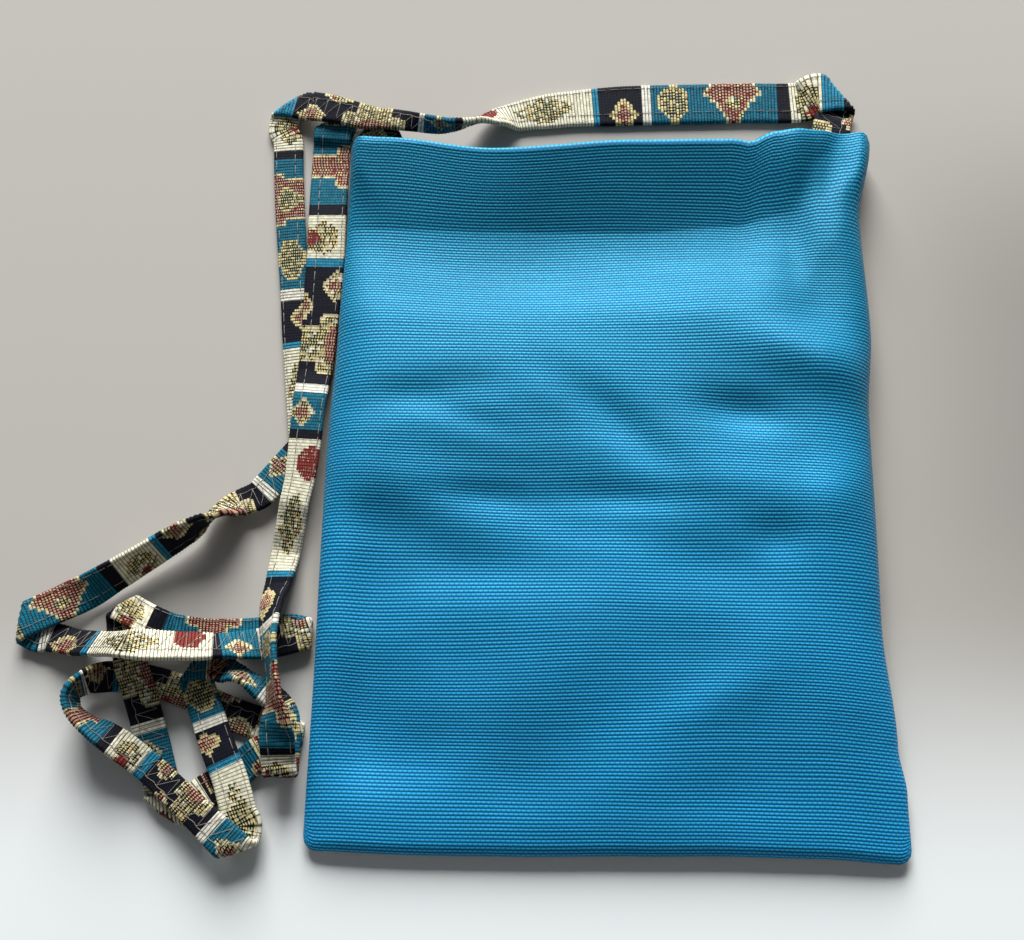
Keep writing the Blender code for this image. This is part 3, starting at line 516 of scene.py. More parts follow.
class Fold:
    """Where one strand turns over onto or under the next, round a line that crosses the strap at an angle."""

    def __init__(self, point, before, after, turn, radius):
        self.start = point
        self.before = before
        self.after = after
        self.turn = turn
        self.radius = radius
        self.line = (before + after).normalized()
        self.share = before.dot(self.line)
        self.inward = (before - self.line * self.share).normalized()
        self.sine = before.dot(self.inward)
        self.left = Vector((0, 0, 1)).cross(before)
        self.window = STRAP_WIDTH / 2 * abs(self.share) / self.sine + FOLD_MARGIN
        self.wrap = math.pi * radius / self.sine
        self.end = point + self.line * (self.share * self.wrap) + Vector((0, 0, 2 * turn * radius))

    def spot(self, past, side):
        """Place and upper normal of a strap point this far past the fold's start and this far to its left."""
        flat = self.before * past + self.left * side
        along_line = flat.dot(self.line)
        depth = flat.dot(self.inward)
        up = Vector((0, 0, 1))
        if depth <= 0.0:
            return self.start + flat, up
        if depth >= math.pi * self.radius:
            back = self.inward * (math.pi * self.radius - depth)
            return self.start + self.line * along_line + back + up * (2 * self.turn * self.radius), -up
        angle = depth / self.radius
        place = self.start + self.line * along_line + self.inward * (self.radius * math.sin(angle))
        place += up * (self.turn * self.radius * (1 - math.cos(angle)))
        return place, up * math.cos(angle) - self.inward * (self.turn * math.sin(angle))


class Strand:
    """A smooth run of strap between two folds, which may roll onto its edge or right over."""

    def __init__(self, points, start, end):
        self.points = [Vector(point[:3]) for point in points]
        self.roll = [math.radians(point[3]) if len(point) > 3 else 0.0 for point in points]
        self.slopes = []
        last = len(self.points) - 1
        for index in range(last + 1):
            before = self.points[max(index - 1, 0)]
            after = self.points[min(index + 1, last)]
            self.slopes.append((after - before).normalized())
        if start is not None:
            self.slopes[0] = start
        if end is not None:
            self.slopes[-1] = end

    def place(self, index, share, length):
        slopes = self.slopes[index] * length, self.slopes[index + 1] * length
        ends = self.points[index], self.points[index + 1]
        place = hermite(*ends, *slopes, share)
        place.z = ends[0].z + (ends[1].z - ends[0].z) * eased(share)
        return place

    def sections(self, step):
        """Place, sideways direction and upper normal along the run."""
        nudge = 0.01
        for index in range(len(self.points) - 1):
            length = (self.points[index + 1] - self.points[index]).length
            steps = max(2, round(length / step))
            for count in range(steps + (index == len(self.points) - 2)):
                share = count / steps
                way = self.place(index, min(share + nudge, 1.0), length)
                way = (way - self.place(index, max(share - nudge, 0.0), length)).normalized()
                roll = self.roll[index] + (self.roll[index + 1] - self.roll[index]) * eased(share)
                left = Vector((0, 0, 1)).cross(way).normalized()
                normal = way.cross(left)
                across = left * math.cos(roll) + normal * math.sin(roll)
                up = normal * math.cos(roll) - left * math.sin(roll)
                yield self.place(index, share, length), across, up


def flat_direction(start, end):
    way = end - start
    way.z = 0.0
    return way.normalized()


def plan_strap():
    """Folds and strands of the whole strap, in metres."""
    routes = []
    for strand in STRANDS:
        routes.append([(*(value * MM for value in point[:3]), *point[3:]) for point in strand[0]])
    folds = []
    strands = []
    for index, (points, (_, turn, radius)) in enumerate(zip(routes, STRANDS)):
        start = None
        if folds:
            start = folds[-1].after
            points = [(*(folds[-1].end + start * folds[-1].window), 0.0), *points]
        if index + 1 < len(routes):
            last = Vector(points[-1][:3])
            before = flat_direction(Vector(points[-2][:3]), last)
            after = flat_direction(last, Vector(routes[index + 1][0][:3]))
            fold = Fold(last, before, after, turn, radius * MM)
            folds.append(fold)
            points = [*points[:-1], (*(last - before * fold.window), *points[-1][3:])]
            strands.append(Strand(points, start, before))
        else:
            strands.append(Strand(points, start, None))
    return strands, folds


def strap_sides():
    """Places across the strap: the two rounded edges, and a place between each two rows of stitches."""
    half = STRAP_WIDTH / 2
    inner = np.linspace(-(half - STRAP_ROUND), half - STRAP_ROUND, STRAP_CELLS + 1)
    edge = [half - STRAP_ROUND / 3, half]
    return np.array([-edge[1], -edge[0], *inner, edge[0], edge[1]])


class Sheet:
    """The strap's middle surface: places and face normals at even steps along it and set places across."""

    def __init__(self, step):
        sides = strap_sides()
        places, normals, owners = [], [], []
        strands, folds = plan_strap()
        hand = -1
        for index, strand in enumerate(strands):
            for place, across, up in strand.sections(STRAND_STEP):
                places.append([place + across * (side * hand) for side in sides])
                normals.append([up * hand] * len(sides))
                owners.append(index)
            if math.cos(strand.roll[-1]) < 0:
                hand = -hand
            if index < len(folds):
                fold = folds[index]
                span = fold.wrap + 2 * fold.window
                steps = max(8, round(span / FOLD_STEP))
                for count in range(1, steps):
                    past = -fold.window + span * count / steps
                    spots = [fold.spot(past, side * hand) for side in sides]
                    places.append([spot[0] for spot in spots])
                    normals.append([spot[1] * hand for spot in spots])
                    owners.append(index + (count > steps / 2))
                hand = -hand
        places = np.array(places, dtype=float)
        normals = np.array(normals, dtype=float)
        middle = places[:, len(sides) // 2]
        length = np.concatenate([[0.0], np.cumsum(np.linalg.norm(np.diff(middle, axis=0), axis=1))])
        keep = np.concatenate([[True], np.diff(length) > 1e-7])
        places, normals, length, owners = places[keep], normals[keep], length[keep], np.array(owners)[keep]
        self.length = length[-1]
        self.sides = sides
        self.count = 2 * int(round(self.length / step / 2)) + 1
        self.along = np.linspace(0.0, self.length, self.count)
        self.places = self.resample(length, places)
        self.normals = unit(self.resample(length, normals))
        self.owners = owners[np.searchsorted(length, self.along).clip(0, len(owners) - 1)]
        self.narrow()

    def narrow(self):
        """Where the limp strap curls it shows less than its width, and its middle stands up a little."""
        factor = along(STRAP_SHOWN, np.arange(self.count) / 2.0)[:, None]
        middle = self.places[:, len(self.sides) // 2][:, None]
        self.places = middle + (self.places - middle) * factor[..., None]
        arch = 1.0 - (self.sides / (STRAP_WIDTH / 2)) ** 2
        self.places[..., 2] += STRAP_ARCH * np.clip(1.0 - factor, 0.0, 1.0) * arch

    def resample(self, length, values):
        flat = values.reshape(len(values), -1)
        columns = [np.interp(self.along, length, flat[:, column]) for column in range(flat.shape[1])]
        return np.stack(columns, axis=1).reshape(self.count, *values.shape[1:])

    def spot(self, along_strap, side, lift):
        """Points at these lengths and places across, this far out of the middle on the face's side."""
        row = np.clip(along_strap / self.length * (self.count - 1), 0, self.count - 1.001)
        first = row.astype(int)
        share = (row - first)[:, None]
        column = np.interp(side, self.sides, np.arange(len(self.sides)))
        low = np.clip(column.astype(int), 0, len(self.sides) - 2)
        part = (column - low)[:, None]

        def mixed(values):
            upper = values[first, low] * (1 - part) + values[first, low + 1] * part
            lower = values[first + 1, low] * (1 - part) + values[first + 1, low + 1] * part
            return upper * (1 - share) + lower * share

        return mixed(self.places) + unit(mixed(self.normals)) * np.asarray(lift)[:, None]


def diamond(centre, tall, wide):
    """Half widths in ribs of a stepped diamond, one for each stitch across the strap."""
    widths = []
    for cell in range(STRAP_CELLS):
        share = 1.0 - abs(cell - centre) / wide
        widths.append(round(tall * share * 2) / 2 if share > 0 else -1)
    return tuple(widths)


def tee(bar, bar_cells, stem):
    """Half widths in ribs of a stepped shape with a broad bar on one side and a stem to the other."""
    return (bar,) * bar_cells + (bar - 1.5,) + (stem,) * (STRAP_CELLS - bar_cells - 1)


def motif_class(rib, cell, motif):
    """The yarn that a motif, whose layers run from the core outwards, gives a stitch, or None outside it."""
    middle, layers = motif
    folded = cell if cell < STRAP_CELLS else 2 * STRAP_CELLS - 1 - cell
    folded = folded if folded >= 0 else -1 - folded
    reach = abs(rib - middle)
    for yarn, widths in layers:
        if reach <= widths[folded]:
            return yarn
    return None


def stitch_class(rib, cell, ground, motifs):
    """The yarn class of one stitch of a band, with a pale outline where a motif meets the ground."""
    for motif in motifs:
        own = motif_class(rib, cell, motif)
        if own is None:
            continue
        around = ((rib - 1, cell), (rib + 1, cell), (rib, cell - 1), (rib, cell + 1))
        at_edge = any(motif_class(*spot, motif) is None for spot in around)
        if own in OUTLINED and at_edge and ground not in ("cream", "white"):
            return "outline"
        return own
    return ground


OUTLINED = ("red", "dark", "gold")

# Yarns: ground colour, colour of the dots on it, how far the dots show, and how metallic they are
YARNS = {
    "teal": ((0.004, 0.115, 0.190), (0.020, 0.230, 0.330), 0.6, 0.0),
    "navy": ((0.0022, 0.0035, 0.011), (0.008, 0.009, 0.022), 0.6, 0.0),
    "cream": ((0.82, 0.79, 0.60), (0.92, 0.90, 0.74), 0.5, 0.0),
    "white": ((0.80, 0.79, 0.68), (0.86, 0.85, 0.76), 0.5, 0.0),
    "blue": ((0.010, 0.210, 0.360), (0.050, 0.330, 0.480), 0.6, 0.0),
    "red": ((0.120, 0.006, 0.010), (0.66, 0.44, 0.30), 0.85, 0.0),
    "brick": ((0.19, 0.022, 0.020), (0.33, 0.060, 0.045), 0.7, 0.0),
    "gold": ((0.026, 0.017, 0.007), (0.80, 0.66, 0.32), 1.0, 0.35),
    "straw": ((0.50, 0.42, 0.19), (0.80, 0.72, 0.42), 0.8, 0.25),
    "dark": ((0.006, 0.011, 0.008), (0.46, 0.48, 0.28), 0.9, 0.2),
    "outline": ((0.64, 0.56, 0.32), (0.82, 0.76, 0.50), 0.7, 0.2),
}

# What a stitch of a mixed yarn may be instead, and how often
MIXED = {
    "gold": (("gold", 0.40), ("straw", 0.20), ("dark", 0.26), ("cream", 0.14)),
    "dark": (("dark", 0.62), ("gold", 0.20), ("straw", 0.18)),
    "red": (("red", 0.86), ("brick", 0.08), ("gold", 0.06)),
    "outline": (("outline", 0.72), ("gold", 0.14), ("straw", 0.14)),
    "brick": (("brick", 0.85), ("red", 0.15)),
}

# Ways in which the broad red motif of the first band shows, as the band was cut from wider cloth
RED_TEE = (14, (("red", tee(8.5, 3, 4)),))
RED_GATE = (14, (("dark", (-1, -1, 2, 3, 3, 3, 2, 2, 1, 1, 0, 0)),
                 ("straw", (-1, 1, 3, 4, 4, 4, 3, 3, 2, 2, 1, 1)),
                 ("red", tee(9, 4, 7))))
RED_STEPS = (14, (("gold", (-1, -1, -1, -1, 1, 2, 2, 1, -1, -1, -1, -1)),
                  ("red", (7, 8, 9, 9, 7, 7, 5, 5, 4, 3, 3, 2))))
FIRST_MOTIFS = {"tee": RED_TEE, "gate": RED_GATE, "steps": RED_STEPS}

# Bands of the strap's repeat: ribs, ground yarn, and motifs as a middle rib with layers of half widths
BANDS = (
    (29, "teal", ()),
    (4, "navy", ()),
    (14, "cream", ((7, (("brick", diamond(10, 2, 2.5)),
                        ("gold", (-1, -1, 2, 3, 4, 4.5, 5, 5, 4.5, 4, 3.5, 3)))),)),
    (3, "blue", ()),
    (39, "navy", ((6, (("red", diamond(1, 2.5, 3)), ("gold", diamond(1, 5.5, 5)))),
                  (13, (("red", diamond(11, 1.5, 2)), ("gold", diamond(11, 4, 3)))),
                  (25, (("red", (5, 5, 3, 0, -1, -1, -1, -1, -1, -1, -1, -1)), ("gold", tee(9.5, 5, 5)))))),
    (3, "white", ()),
    (12, "teal", ((6, (("red", diamond(8, 2.5, 3)), ("gold", diamond(7.5, 5, 5)))),)),
    (3, "navy", ()),
    (41, "cream", ((7, (("brick", (4, 5, 5, 5, 4, 4, 3, 2, -1, -1, -1, -1)),)),
                   (26, (("dark", diamond(6, 3, 3)), ("gold", (-1, 2, 4, 7, 9, 8, 9, 7, 5, 3, 2, -1)))))),
    (2, "blue", ()),
    (15, "navy", ((8, (("red", diamond(9, 3, 4)), ("straw", diamond(9, 5.5, 6)))),)),
    (3, "white", ()),
    (12, "teal", ((7, (("dark", (-1, 1, 3, 4, 4, 3, 4, 4, 3, 2, 1, -1)),
                       ("straw", (1, 3, 4, 5, 5, 5, 5, 5, 4, 3, 2, 1)))),)),
)

# How each strand's ribs fall on the repeat, as (rib along the strap, rib of the repeat), and its red motif
STRAND_PATTERN = (
    (((0, 83), (34, 48)), "steps"),
    (((34, 48), (46, 33), (50, 29), (79, 0), (91, -12), (94, -15), (108, -30), (110, -32), (155, -73),
      (167, -88), (169, -91), (212, -130), (217, -133)), "steps"),
    (((217, -132), (220, -134), (233, -147), (236, -151), (265, -180), (282, -192), (286, -195), (300, -210),
      (336, -246)), "gate"),
    (((336, -252), (351, -268), (354, -271), (388, -310), (390, -313), (403, -327), (407, -331),
      (437, -361)), "steps"),
    (((437, -366), (443, -372), (446, -375), (461, -390), (463, -392), (499, -433), (501, -436), (512, -448),
      (515, -451), (529, -465)), "steps"),
    (((529, -14), (574, 31), (589, 46)), "tee"),
    (((589, 50), (627, 89), (630, 92), (642, 104), (645, 107), (654, 116)), "tee"),
    (((654, 117), (664, 127), (672, 176), (699, 203)), "tee"),
    (((699, -73), (712, -55), (713, -128), (748, -93), (749, -40), (757, -31), (766, -15), (770, 0),
      (788, 29), (791, 33), (801, 47), (804, 50), (827, 89), (830, 92), (838, 99)), "tee"),
    (((838, 124), (863, 148), (865, 150), (875, 165), (878, 168), (890, 180), (894, 184)), "tee"),
    (((894, 184), (904, 197), (905, 284), (917, 272), (920, 269), (922, 268), (926, 262), (927, 350),
      (935, 358), (936, 362), (945, 374)), "tee"),
    (((946, 219), (951, 213), (953, 209), (976, 186), (987, 168), (990, 165), (1006, 150), (1008, 148),
      (1049, 107), (1052, 104), (1064, 92), (1067, 89), (1107, 50), (1110, 47), (1125, 33), (1129, 29),
      (1158, 0), (1163, -5)), "tee"),
    (((1163, -5), (1200, -42)), "tee"),
)


def strap_lift(side):
    """Share of the strap's half thickness at a place across it, rounded off along both edges."""
    past = np.clip((np.abs(side) - (STRAP_WIDTH / 2 - STRAP_ROUND)) / STRAP_ROUND, 0.0, 1.0)
    return np.sqrt(1.0 - past**2)


def band_at(rib, table):
    """Ground yarn and motifs of the band that holds a rib, and the rib's number in that band."""
    for length, ground, motifs in table:
        if rib < length:
            return ground, motifs, rib
        rib -= length
    raise ValueError("the rib lies past the repeat")


def mixed_yarn(yarn):
    """One stitch's yarn, drawn at random where the weave mixes several."""
    if yarn not in MIXED:
        return yarn
    names, shares = zip(*MIXED[yarn])
    return names[int(np.searchsorted(np.cumsum(shares), RANDOM.random() * sum(shares)))]


def strap_classes(sheet):
    """Yarn class of each stitch: a row for each rib, with the face's cells and then the reverse's."""
    total = sum(length for length, _, _ in BANDS)
    half = STRAP_CELLS // 2
    cells = [*range(STRAP_CELLS + half), *range(-half, 0)]
    rows = []
    for rib in range((sheet.count - 1) // 2):
        places, first = STRAND_PATTERN[sheet.owners[2 * rib + 1]]
        place = np.interp(rib, [spot[0] for spot in places], [spot[1] for spot in places])
        ground, motifs, local = band_at(int(round(place)) % total, BANDS)
        if not motifs and ground == "teal":
            motifs = (FIRST_MOTIFS[first],)
        rows.append([mixed_yarn(stitch_class(local, cell, ground, motifs)) for cell in cells])
    return rows


def yarn_arrays(rows):
    """Ground and dot colours of a table of yarn classes."""
    ground = {name: (*base, metal) for name, (base, _, _, metal) in YARNS.items()}
    dots = {name: (*dot, shown) for name, (_, dot, shown, _) in YARNS.items()}
    return (np.array([[ground[name] for name in row] for row in rows]),
            np.array([[dots[name] for name in row] for row in rows]))


def build_strap(sheet, finish):
    """The woven band: a rounded ribbed surface on both faces, with the yarns of every stitch."""
    sides = sheet.sides
    half = STRAP_THICKNESS / 2
    lift = strap_lift(sides)
    relief = STRAP_RELIEF * np.where(np.arange(sheet.count) % 2 == 1, 1.0, -1.0)[:, None]
    worn = RANDOM.normal(0.0, STRAP_WEAR, (sheet.count, len(sides)))
    out = (half * lift + (relief + worn) * np.minimum(lift, 1.0))[..., None]
    face = sheet.places + sheet.normals * out
    reverse = (sheet.places - sheet.normals * out)[:, -2:0:-1]
    points = np.concatenate([face, reverse], axis=1)
    ring = points.shape[1]
    faces = grid_faces(sheet.count, ring, close_columns=True)
    ends = [list(range(ring))[::-1], list(range((sheet.count - 1) * ring, sheet.count * ring))]
    obj = mesh_object("shoulder_strap_woven", points.reshape(-1, 3), [*faces.tolist(), *ends], finish)

    cells = STRAP_CELLS
    columns = [0, 0, *range(cells), cells - 1, cells - 1]
    columns += [cells, cells, *range(cells, 2 * cells), 2 * cells - 1, 2 * cells - 1]
    ground, dots = yarn_arrays(strap_classes(sheet))
    rib_of_row = np.minimum(np.arange(sheet.count - 1) // 2, len(ground) - 1)
    edge = np.zeros((2, 4))
    for name, table in (("ground", ground), ("dot", dots)):
        colours = table[rib_of_row][:, columns].reshape(-1, 4)
        add_colours(obj, name, np.concatenate([colours, edge + colours[0]]))
    cell_width = (STRAP_WIDTH - 2 * STRAP_ROUND) / cells
    across = sides / cell_width + cells / 2
    across = np.concatenate([across, 2 * cells + cells - across[-2:0:-1]])
    weave = np.zeros((sheet.count, ring, 3))
    weave[..., 0] = across
    weave[..., 1] = (sheet.along / STRAP_RIB)[:, None]
    add_vectors(obj, "weave", weave.reshape(-1, 3))
    return obj


def tubes(name, lines, ups, radius, sides, finish):
    """Many thin threads in one piece, from lines of points and the directions out of the cloth along them."""
    lines, ups = np.asarray(lines), np.asarray(ups)
    count, length = lines.shape[:2]
    ahead = unit(np.gradient(lines, axis=1))
    across = unit(np.cross(ups, ahead))
    out = np.cross(ahead, across)
    angles = 2.0 * np.pi * np.arange(sides) / sides
    turn = across[:, :, None] * np.cos(angles)[:, None] + out[:, :, None] * np.sin(angles)[:, None]
    points = (lines[:, :, None] + turn * radius).reshape(-1, 3)
    grid = grid_faces(length, sides, close_columns=True)
    size = length * sides
    faces = (grid[None] + (np.arange(count) * size)[:, None, None]).reshape(-1, 4).tolist()
    for start in range(0, count * size, size):
        faces.append(list(range(start, start + sides))[::-1])
        faces.append(list(range(start + size - sides, start + size)))
    return mesh_object(name, points, faces, finish)


def strap_thread(sheet, along_strap, side, out):
    """Points and outward directions of a thread that lies on the strap; out is +1 on the face, -1 behind."""
    surface = STRAP_THICKNESS / 2 * strap_lift(side) + STRAP_RELIEF
    flat_along, flat_side = along_strap.ravel(), np.broadcast_to(side, along_strap.shape).ravel()
    flat_lift = np.broadcast_to(surface, along_strap.shape).ravel()
    places = sheet.spot(flat_along, flat_side, out * flat_lift)
    middle = sheet.spot(flat_along, flat_side, np.zeros_like(flat_lift))
    shape = (*along_strap.shape, 3)
    return places.reshape(shape), unit(places - middle).reshape(shape)


def build_strap_threads(sheet, finish):
    """Cover stitching: two rows of stitches on the face, and on the reverse a chain with crossing threads."""
    starts = np.arange(STITCH_ENDS[0], sheet.length - STITCH_ENDS[1], STRAP_STITCH)
    steps = np.linspace(0.0, 1.0, 5)
    pieces = []
    for side, shift in zip(STITCH_ROWS, (0.0, 0.5)):
        sewn = starts[:, None] + (shift + steps * 0.88) * STRAP_STITCH
        dip = np.abs(2.0 * steps - 1.0) ** 6
        places, ups = strap_thread(sheet, sewn, np.full_like(sewn, side), 1.0)
        places = places - ups * (dip * THREAD * 1.5)[None, :, None]
        pieces.append(tubes(f"strap_stitches_{len(pieces) + 1}", places, ups, THREAD, 4, finish))
    low, high = STITCH_ROWS
    stroke = np.linspace(0.0, 1.0, 7)
    strokes = (("across", low, high, 0.02, 0.05), ("slanted", high, low, 0.05, 0.95))
    for word, begin, end, first, drift in strokes:
        sewn = starts[:, None] + (first + drift * stroke) * STRAP_STITCH
        side = np.broadcast_to(begin + (end - begin) * stroke, sewn.shape)
        places, ups = strap_thread(sheet, sewn, side, -1.0)
        pieces.append(tubes(f"strap_threads_{word}", places, ups, THREAD * 0.8, 4, finish))
    chain = starts[:, None] + np.linspace(-0.05, 1.0, 6) * STRAP_STITCH
    side = high + CHAIN_SWAY * np.sin(np.linspace(0, 2 * math.pi, 6))[None] * np.ones_like(chain)
    places, ups = strap_thread(sheet, chain, side, -1.0)
    pieces.append(tubes("strap_chain", places, ups, THREAD, 4, finish))
    return pieces


# Panels


def corner_drop(distance, radius):
    inside = np.clip(radius - distance, 0.0, radius)
    return radius - np.sqrt(radius**2 - inside**2)


def left_x(y):
    return -BAG_WIDTH / 2 + along(LEFT_LINE, y / BAG_HEIGHT + 0.5)


def right_x(y):
    return BAG_WIDTH / 2 + along(RIGHT_LINE, y / BAG_HEIGHT + 0.5)


def edge_curve(distance, reach):
    share = np.clip(distance / reach, 0.0, 1.0)
    return np.sqrt(1.0 - (1.0 - share) ** 2)


def back_rise(x, y):
    """Fullness of the back: a thick hem, a trough that bends up to the right corner, and the belly."""
    from_top = BAG_HEIGHT / 2 - y
    share = x / BAG_WIDTH + 0.5
    trough = along(TROUGH_PLACE, share)
    floor = along(TROUGH_LEVEL, share)
    above = np.clip((trough - from_top) / HEM_FALL, 0.0, 1.0) ** 1.1
    below = smooth((from_top - trough) / BELLY_CLIMB)
    hem = along(HEM_LEVEL, share) - HEM_SLUMP * smooth((HEM_ROUND - from_top) / HEM_ROUND)
    return floor + (hem - floor) * above + (BELLY_LEVEL - floor) * below


def front_rise(x, y):
    return np.full(np.broadcast(x, y).shape, MOUTH_RISE)


def thinning(y):
    """1 over most of the bag, falling towards its empty bottom edge, where only cloth is left."""
    return 1.0 - smooth((THIN_FROM - y - BAG_HEIGHT / 2) / THIN_RUN)


def side_reach(y, belly_reach):
    from_top = BAG_HEIGHT / 2 - y
    share = smooth((from_top - MOUTH_FROM_TOP) / (TROUGH_FROM_TOP - MOUTH_FROM_TOP))
    return MOUTH_EDGE + (belly_reach - MOUTH_EDGE) * share


def dent_height(x, y, dents):
    """Soft hollows and swellings of slack cloth: x, y, half widths, turn in degrees and height."""
    total = np.zeros_like(x)
    for centre_x, centre_y, half_x, half_y, turn, height in dents:
        cosine, sine = math.cos(math.radians(turn)), math.sin(math.radians(turn))
        first = (cosine * (x - centre_x * MM) + sine * (y - centre_y * MM)) / (half_x * MM)
        second = (cosine * (y - centre_y * MM) - sine * (x - centre_x * MM)) / (half_y * MM)
        total += height * MM * np.exp(-0.5 * (first**2 + second**2))
    return total


class Cloth:
    """One panel of the pouch, finely sampled: outer face, bend at the mouth, hem tail and inner face."""

    def __init__(self, side, cloth, rise, thin, belly_reach, columns, pitch, per_rib, relief, dents):
        self.side = side
        self.cloth = cloth
        self.rise = rise
        self.thin = thin
        self.belly_reach = belly_reach
        self.pitch = pitch
        self.per_rib = per_rib
        self.relief = relief
        self.dents = dents
        eased_steps = 0.5 - 0.5 * np.cos(np.pi * np.arange(columns + 1) / columns)
        spread = 0.5 * eased_steps + 0.5 * np.arange(columns + 1) / columns
        self.share = np.concatenate([[0.0], SIDE_STRIP + (1 - 2 * SIDE_STRIP) * spread, [1.0]])
        self.top = BAG_HEIGHT / 2 + along(TOP_LINE, self.share)
        from_side = np.minimum(self.share, 1.0 - self.share) * BAG_WIDTH
        self.top = self.top - corner_drop(from_side, TOP_CORNER)
        self.base = -BAG_HEIGHT / 2 - BOTTOM_SLACK + along(BOTTOM_LINE, self.share)
        self.low = self.base + corner_drop(from_side, BOTTOM_CORNER)

    def surface(self, y, inset, limit=None):
        """Points at these heights, a row for each, on the surface this deep inside the outer one."""
        inset = np.broadcast_to(inset, y.shape)
        left, right = left_x(y) + inset, right_x(y) - inset
        x = left + (right - left) * self.share
        from_side = np.minimum(x - left, right - x)
        from_bottom = y - self.low - inset
        full = thinning(y)
        seam = SEAM_LOW + (SEAM_HEIGHT - SEAM_LOW) * full
        thin = self.thin + (1.0 - self.thin) * full
        rise = self.rise(x, y) * thin - inset
        body = edge_curve(from_side, side_reach(y, self.belly_reach) - inset)
        body = body * edge_curve(from_bottom, BOTTOM_EDGE - inset)
        slack = body**2 * smooth(from_bottom / DENT_FADE)
        rise = rise * body + dent_height(x, y, self.dents) * slack
        if limit is not None:
            rise = np.minimum(rise, (limit - inset) * body)
        return np.stack([x, y, seam + self.side * (SEAM_GAP / 2 + rise)], axis=-1)

    def height(self, share, bend_y):
        """Heights of a rib: level over most of the panel, and following the uneven top near the mouth."""
        level = BAG_HEIGHT / 2 - self.cloth - FOLD_GAP / 2
        straight = self.base + (level - self.base) * share
        wander = RIB_WANDER * np.sin(self.share * 5.0 + share * 4.0) * np.sin(share * 17.0 + self.share * 2.5)
        wander = wander * smooth(share / 0.1) * smooth((1.0 - share) / 0.1)
        corner = (self.low - self.base) * (1.0 - smooth(share / 0.045))
        return straight + wander + corner + (bend_y - level) * smooth((share - 0.8) / 0.2)

    def rows(self):
        """The closed section: rows of points, their places in ribs, and how many rows are ribbed."""
        turn = self.cloth + FOLD_GAP / 2
        below = self.top[None] - turn
        gap = np.abs(self.surface(below, 0.0) - self.hem_surface(below, 2 * turn))
        reach = np.clip(0.4 * gap[0, :, 2], turn, HEM_PUFF)
        bend_y = self.top - reach
        fine = np.linspace(0.0, 1.0, 2001)[:, None]
        trial = self.surface(self.height(fine, bend_y), 0.0)[:, len(self.share) // 2]
        length = np.concatenate([[0.0], np.cumsum(np.linalg.norm(np.diff(trial, axis=0), axis=1))])
        ribs = int(round(length[-1] / self.pitch))
        count = ribs * self.per_rib + 1
        share = np.interp(np.linspace(0.0, length[-1], count), length, fine[:, 0])[:, None]
        outer = self.surface(self.height(share, bend_y), 0.0)
        step = self.pitch / self.per_rib
        bend_count = max(6, int(round(math.pi * turn / step)))
        angle = (np.pi * np.arange(1, bend_count) / bend_count)[:, None]
        bend = self.fold(bend_y, angle, reach, 0.0, 2 * turn)
        tail_count = int(round(HEM_DEPTH / step))
        tail = self.hem_surface(bend_y - HEM_DEPTH * np.linspace(0.0, 1.0, tail_count + 1)[:, None], 2 * turn)
        up_again = np.array([[1.0], [0.5], [0.0]])
        back_tail = self.hem_surface(bend_y - HEM_DEPTH * up_again, self.cloth + FOLD_GAP)
        inner_angle = np.pi * np.array([[0.8], [0.6], [0.4], [0.2]])
        fold = self.fold(bend_y, inner_angle, reach - self.cloth, self.cloth, self.cloth + FOLD_GAP)
        first = self.low + self.cloth
        inner_share = np.concatenate([np.linspace(1.0, 0.1, 28), np.linspace(0.08, 0.0, 6)])[:, None]
        inner = self.surface(first + (bend_y - first) * inner_share, self.cloth)
        ribbed = len(outer) + len(bend) + len(tail)
        points = np.concatenate([outer, bend, tail, back_tail, fold, inner])
        along_ribs = np.full(len(points), ribs * 1.0)
        along_ribs[:ribbed] = np.arange(ribbed) / self.per_rib
        along_ribs[ribbed:] = np.arange(len(points) - ribbed) * 3.0
        return points, along_ribs, ribbed

    def hem_surface(self, y, inset):
        """The turned-in hem keeps near the zip's tape, where the outer cloth puffs out."""
        return self.surface(y, inset, MOUTH_RISE)

    def fold(self, bend_y, angle, reach, outer_inset, hem_inset):
        """The round top edge, from the outer cloth over to the turned-in hem."""
        outer = self.surface(bend_y[None], outer_inset)
        hem = self.hem_surface(bend_y[None], hem_inset)
        points = outer + (hem - outer) * (0.5 - 0.5 * np.cos(angle))[..., None]
        points[..., 1] += reach * np.sin(angle)
        return points

    def normals(self, points):
        ahead = np.roll(points, -1, axis=0) - np.roll(points, 1, axis=0)
        sideways = np.gradient(points, axis=1)
        return unit(np.cross(sideways, ahead)) * self.side

    def build(self, name, finish):
        points, along_ribs, ribbed = self.rows()
        normals = self.normals(points)
        fade = np.clip(np.minimum(self.share, 1.0 - self.share) / (2 * SIDE_STRIP), 0.0, 1.0)
        height = self.rib_height(along_ribs[:ribbed, None], self.share[None, :])
        ends = np.clip(np.arange(ribbed) / 3.0, 0.0, 1.0)[:, None]
        points[:ribbed] += normals[:ribbed] * (height * fade * ends)[..., None]
        rows, columns = points.shape[:2]
        faces = grid_faces(rows, columns, close_rows=True).tolist()
        for column in (0, columns - 1):
            faces += self.close_side(points[:, column], column, rows, columns)
        obj = mesh_object(name, points.reshape(-1, 3), faces, finish)
        weave = np.zeros((rows, columns, 3))
        weave[..., 0] = points[..., 0] / self.cell + WEAVE_SHIFT
        weave[..., 1] = along_ribs[:, None]
        add_vectors(obj, "weave", weave.reshape(-1, 3))
        return obj, along_ribs, columns

    def rib_height(self, rib, share):
        hump = np.abs(np.sin(np.pi * rib))
        strength = 1.0 + 0.12 * np.sin(rib * 1.7) + 0.10 * np.sin(rib * 0.37 + share * 12.0)
        return self.relief * (hump**0.8 - 0.5) * strength

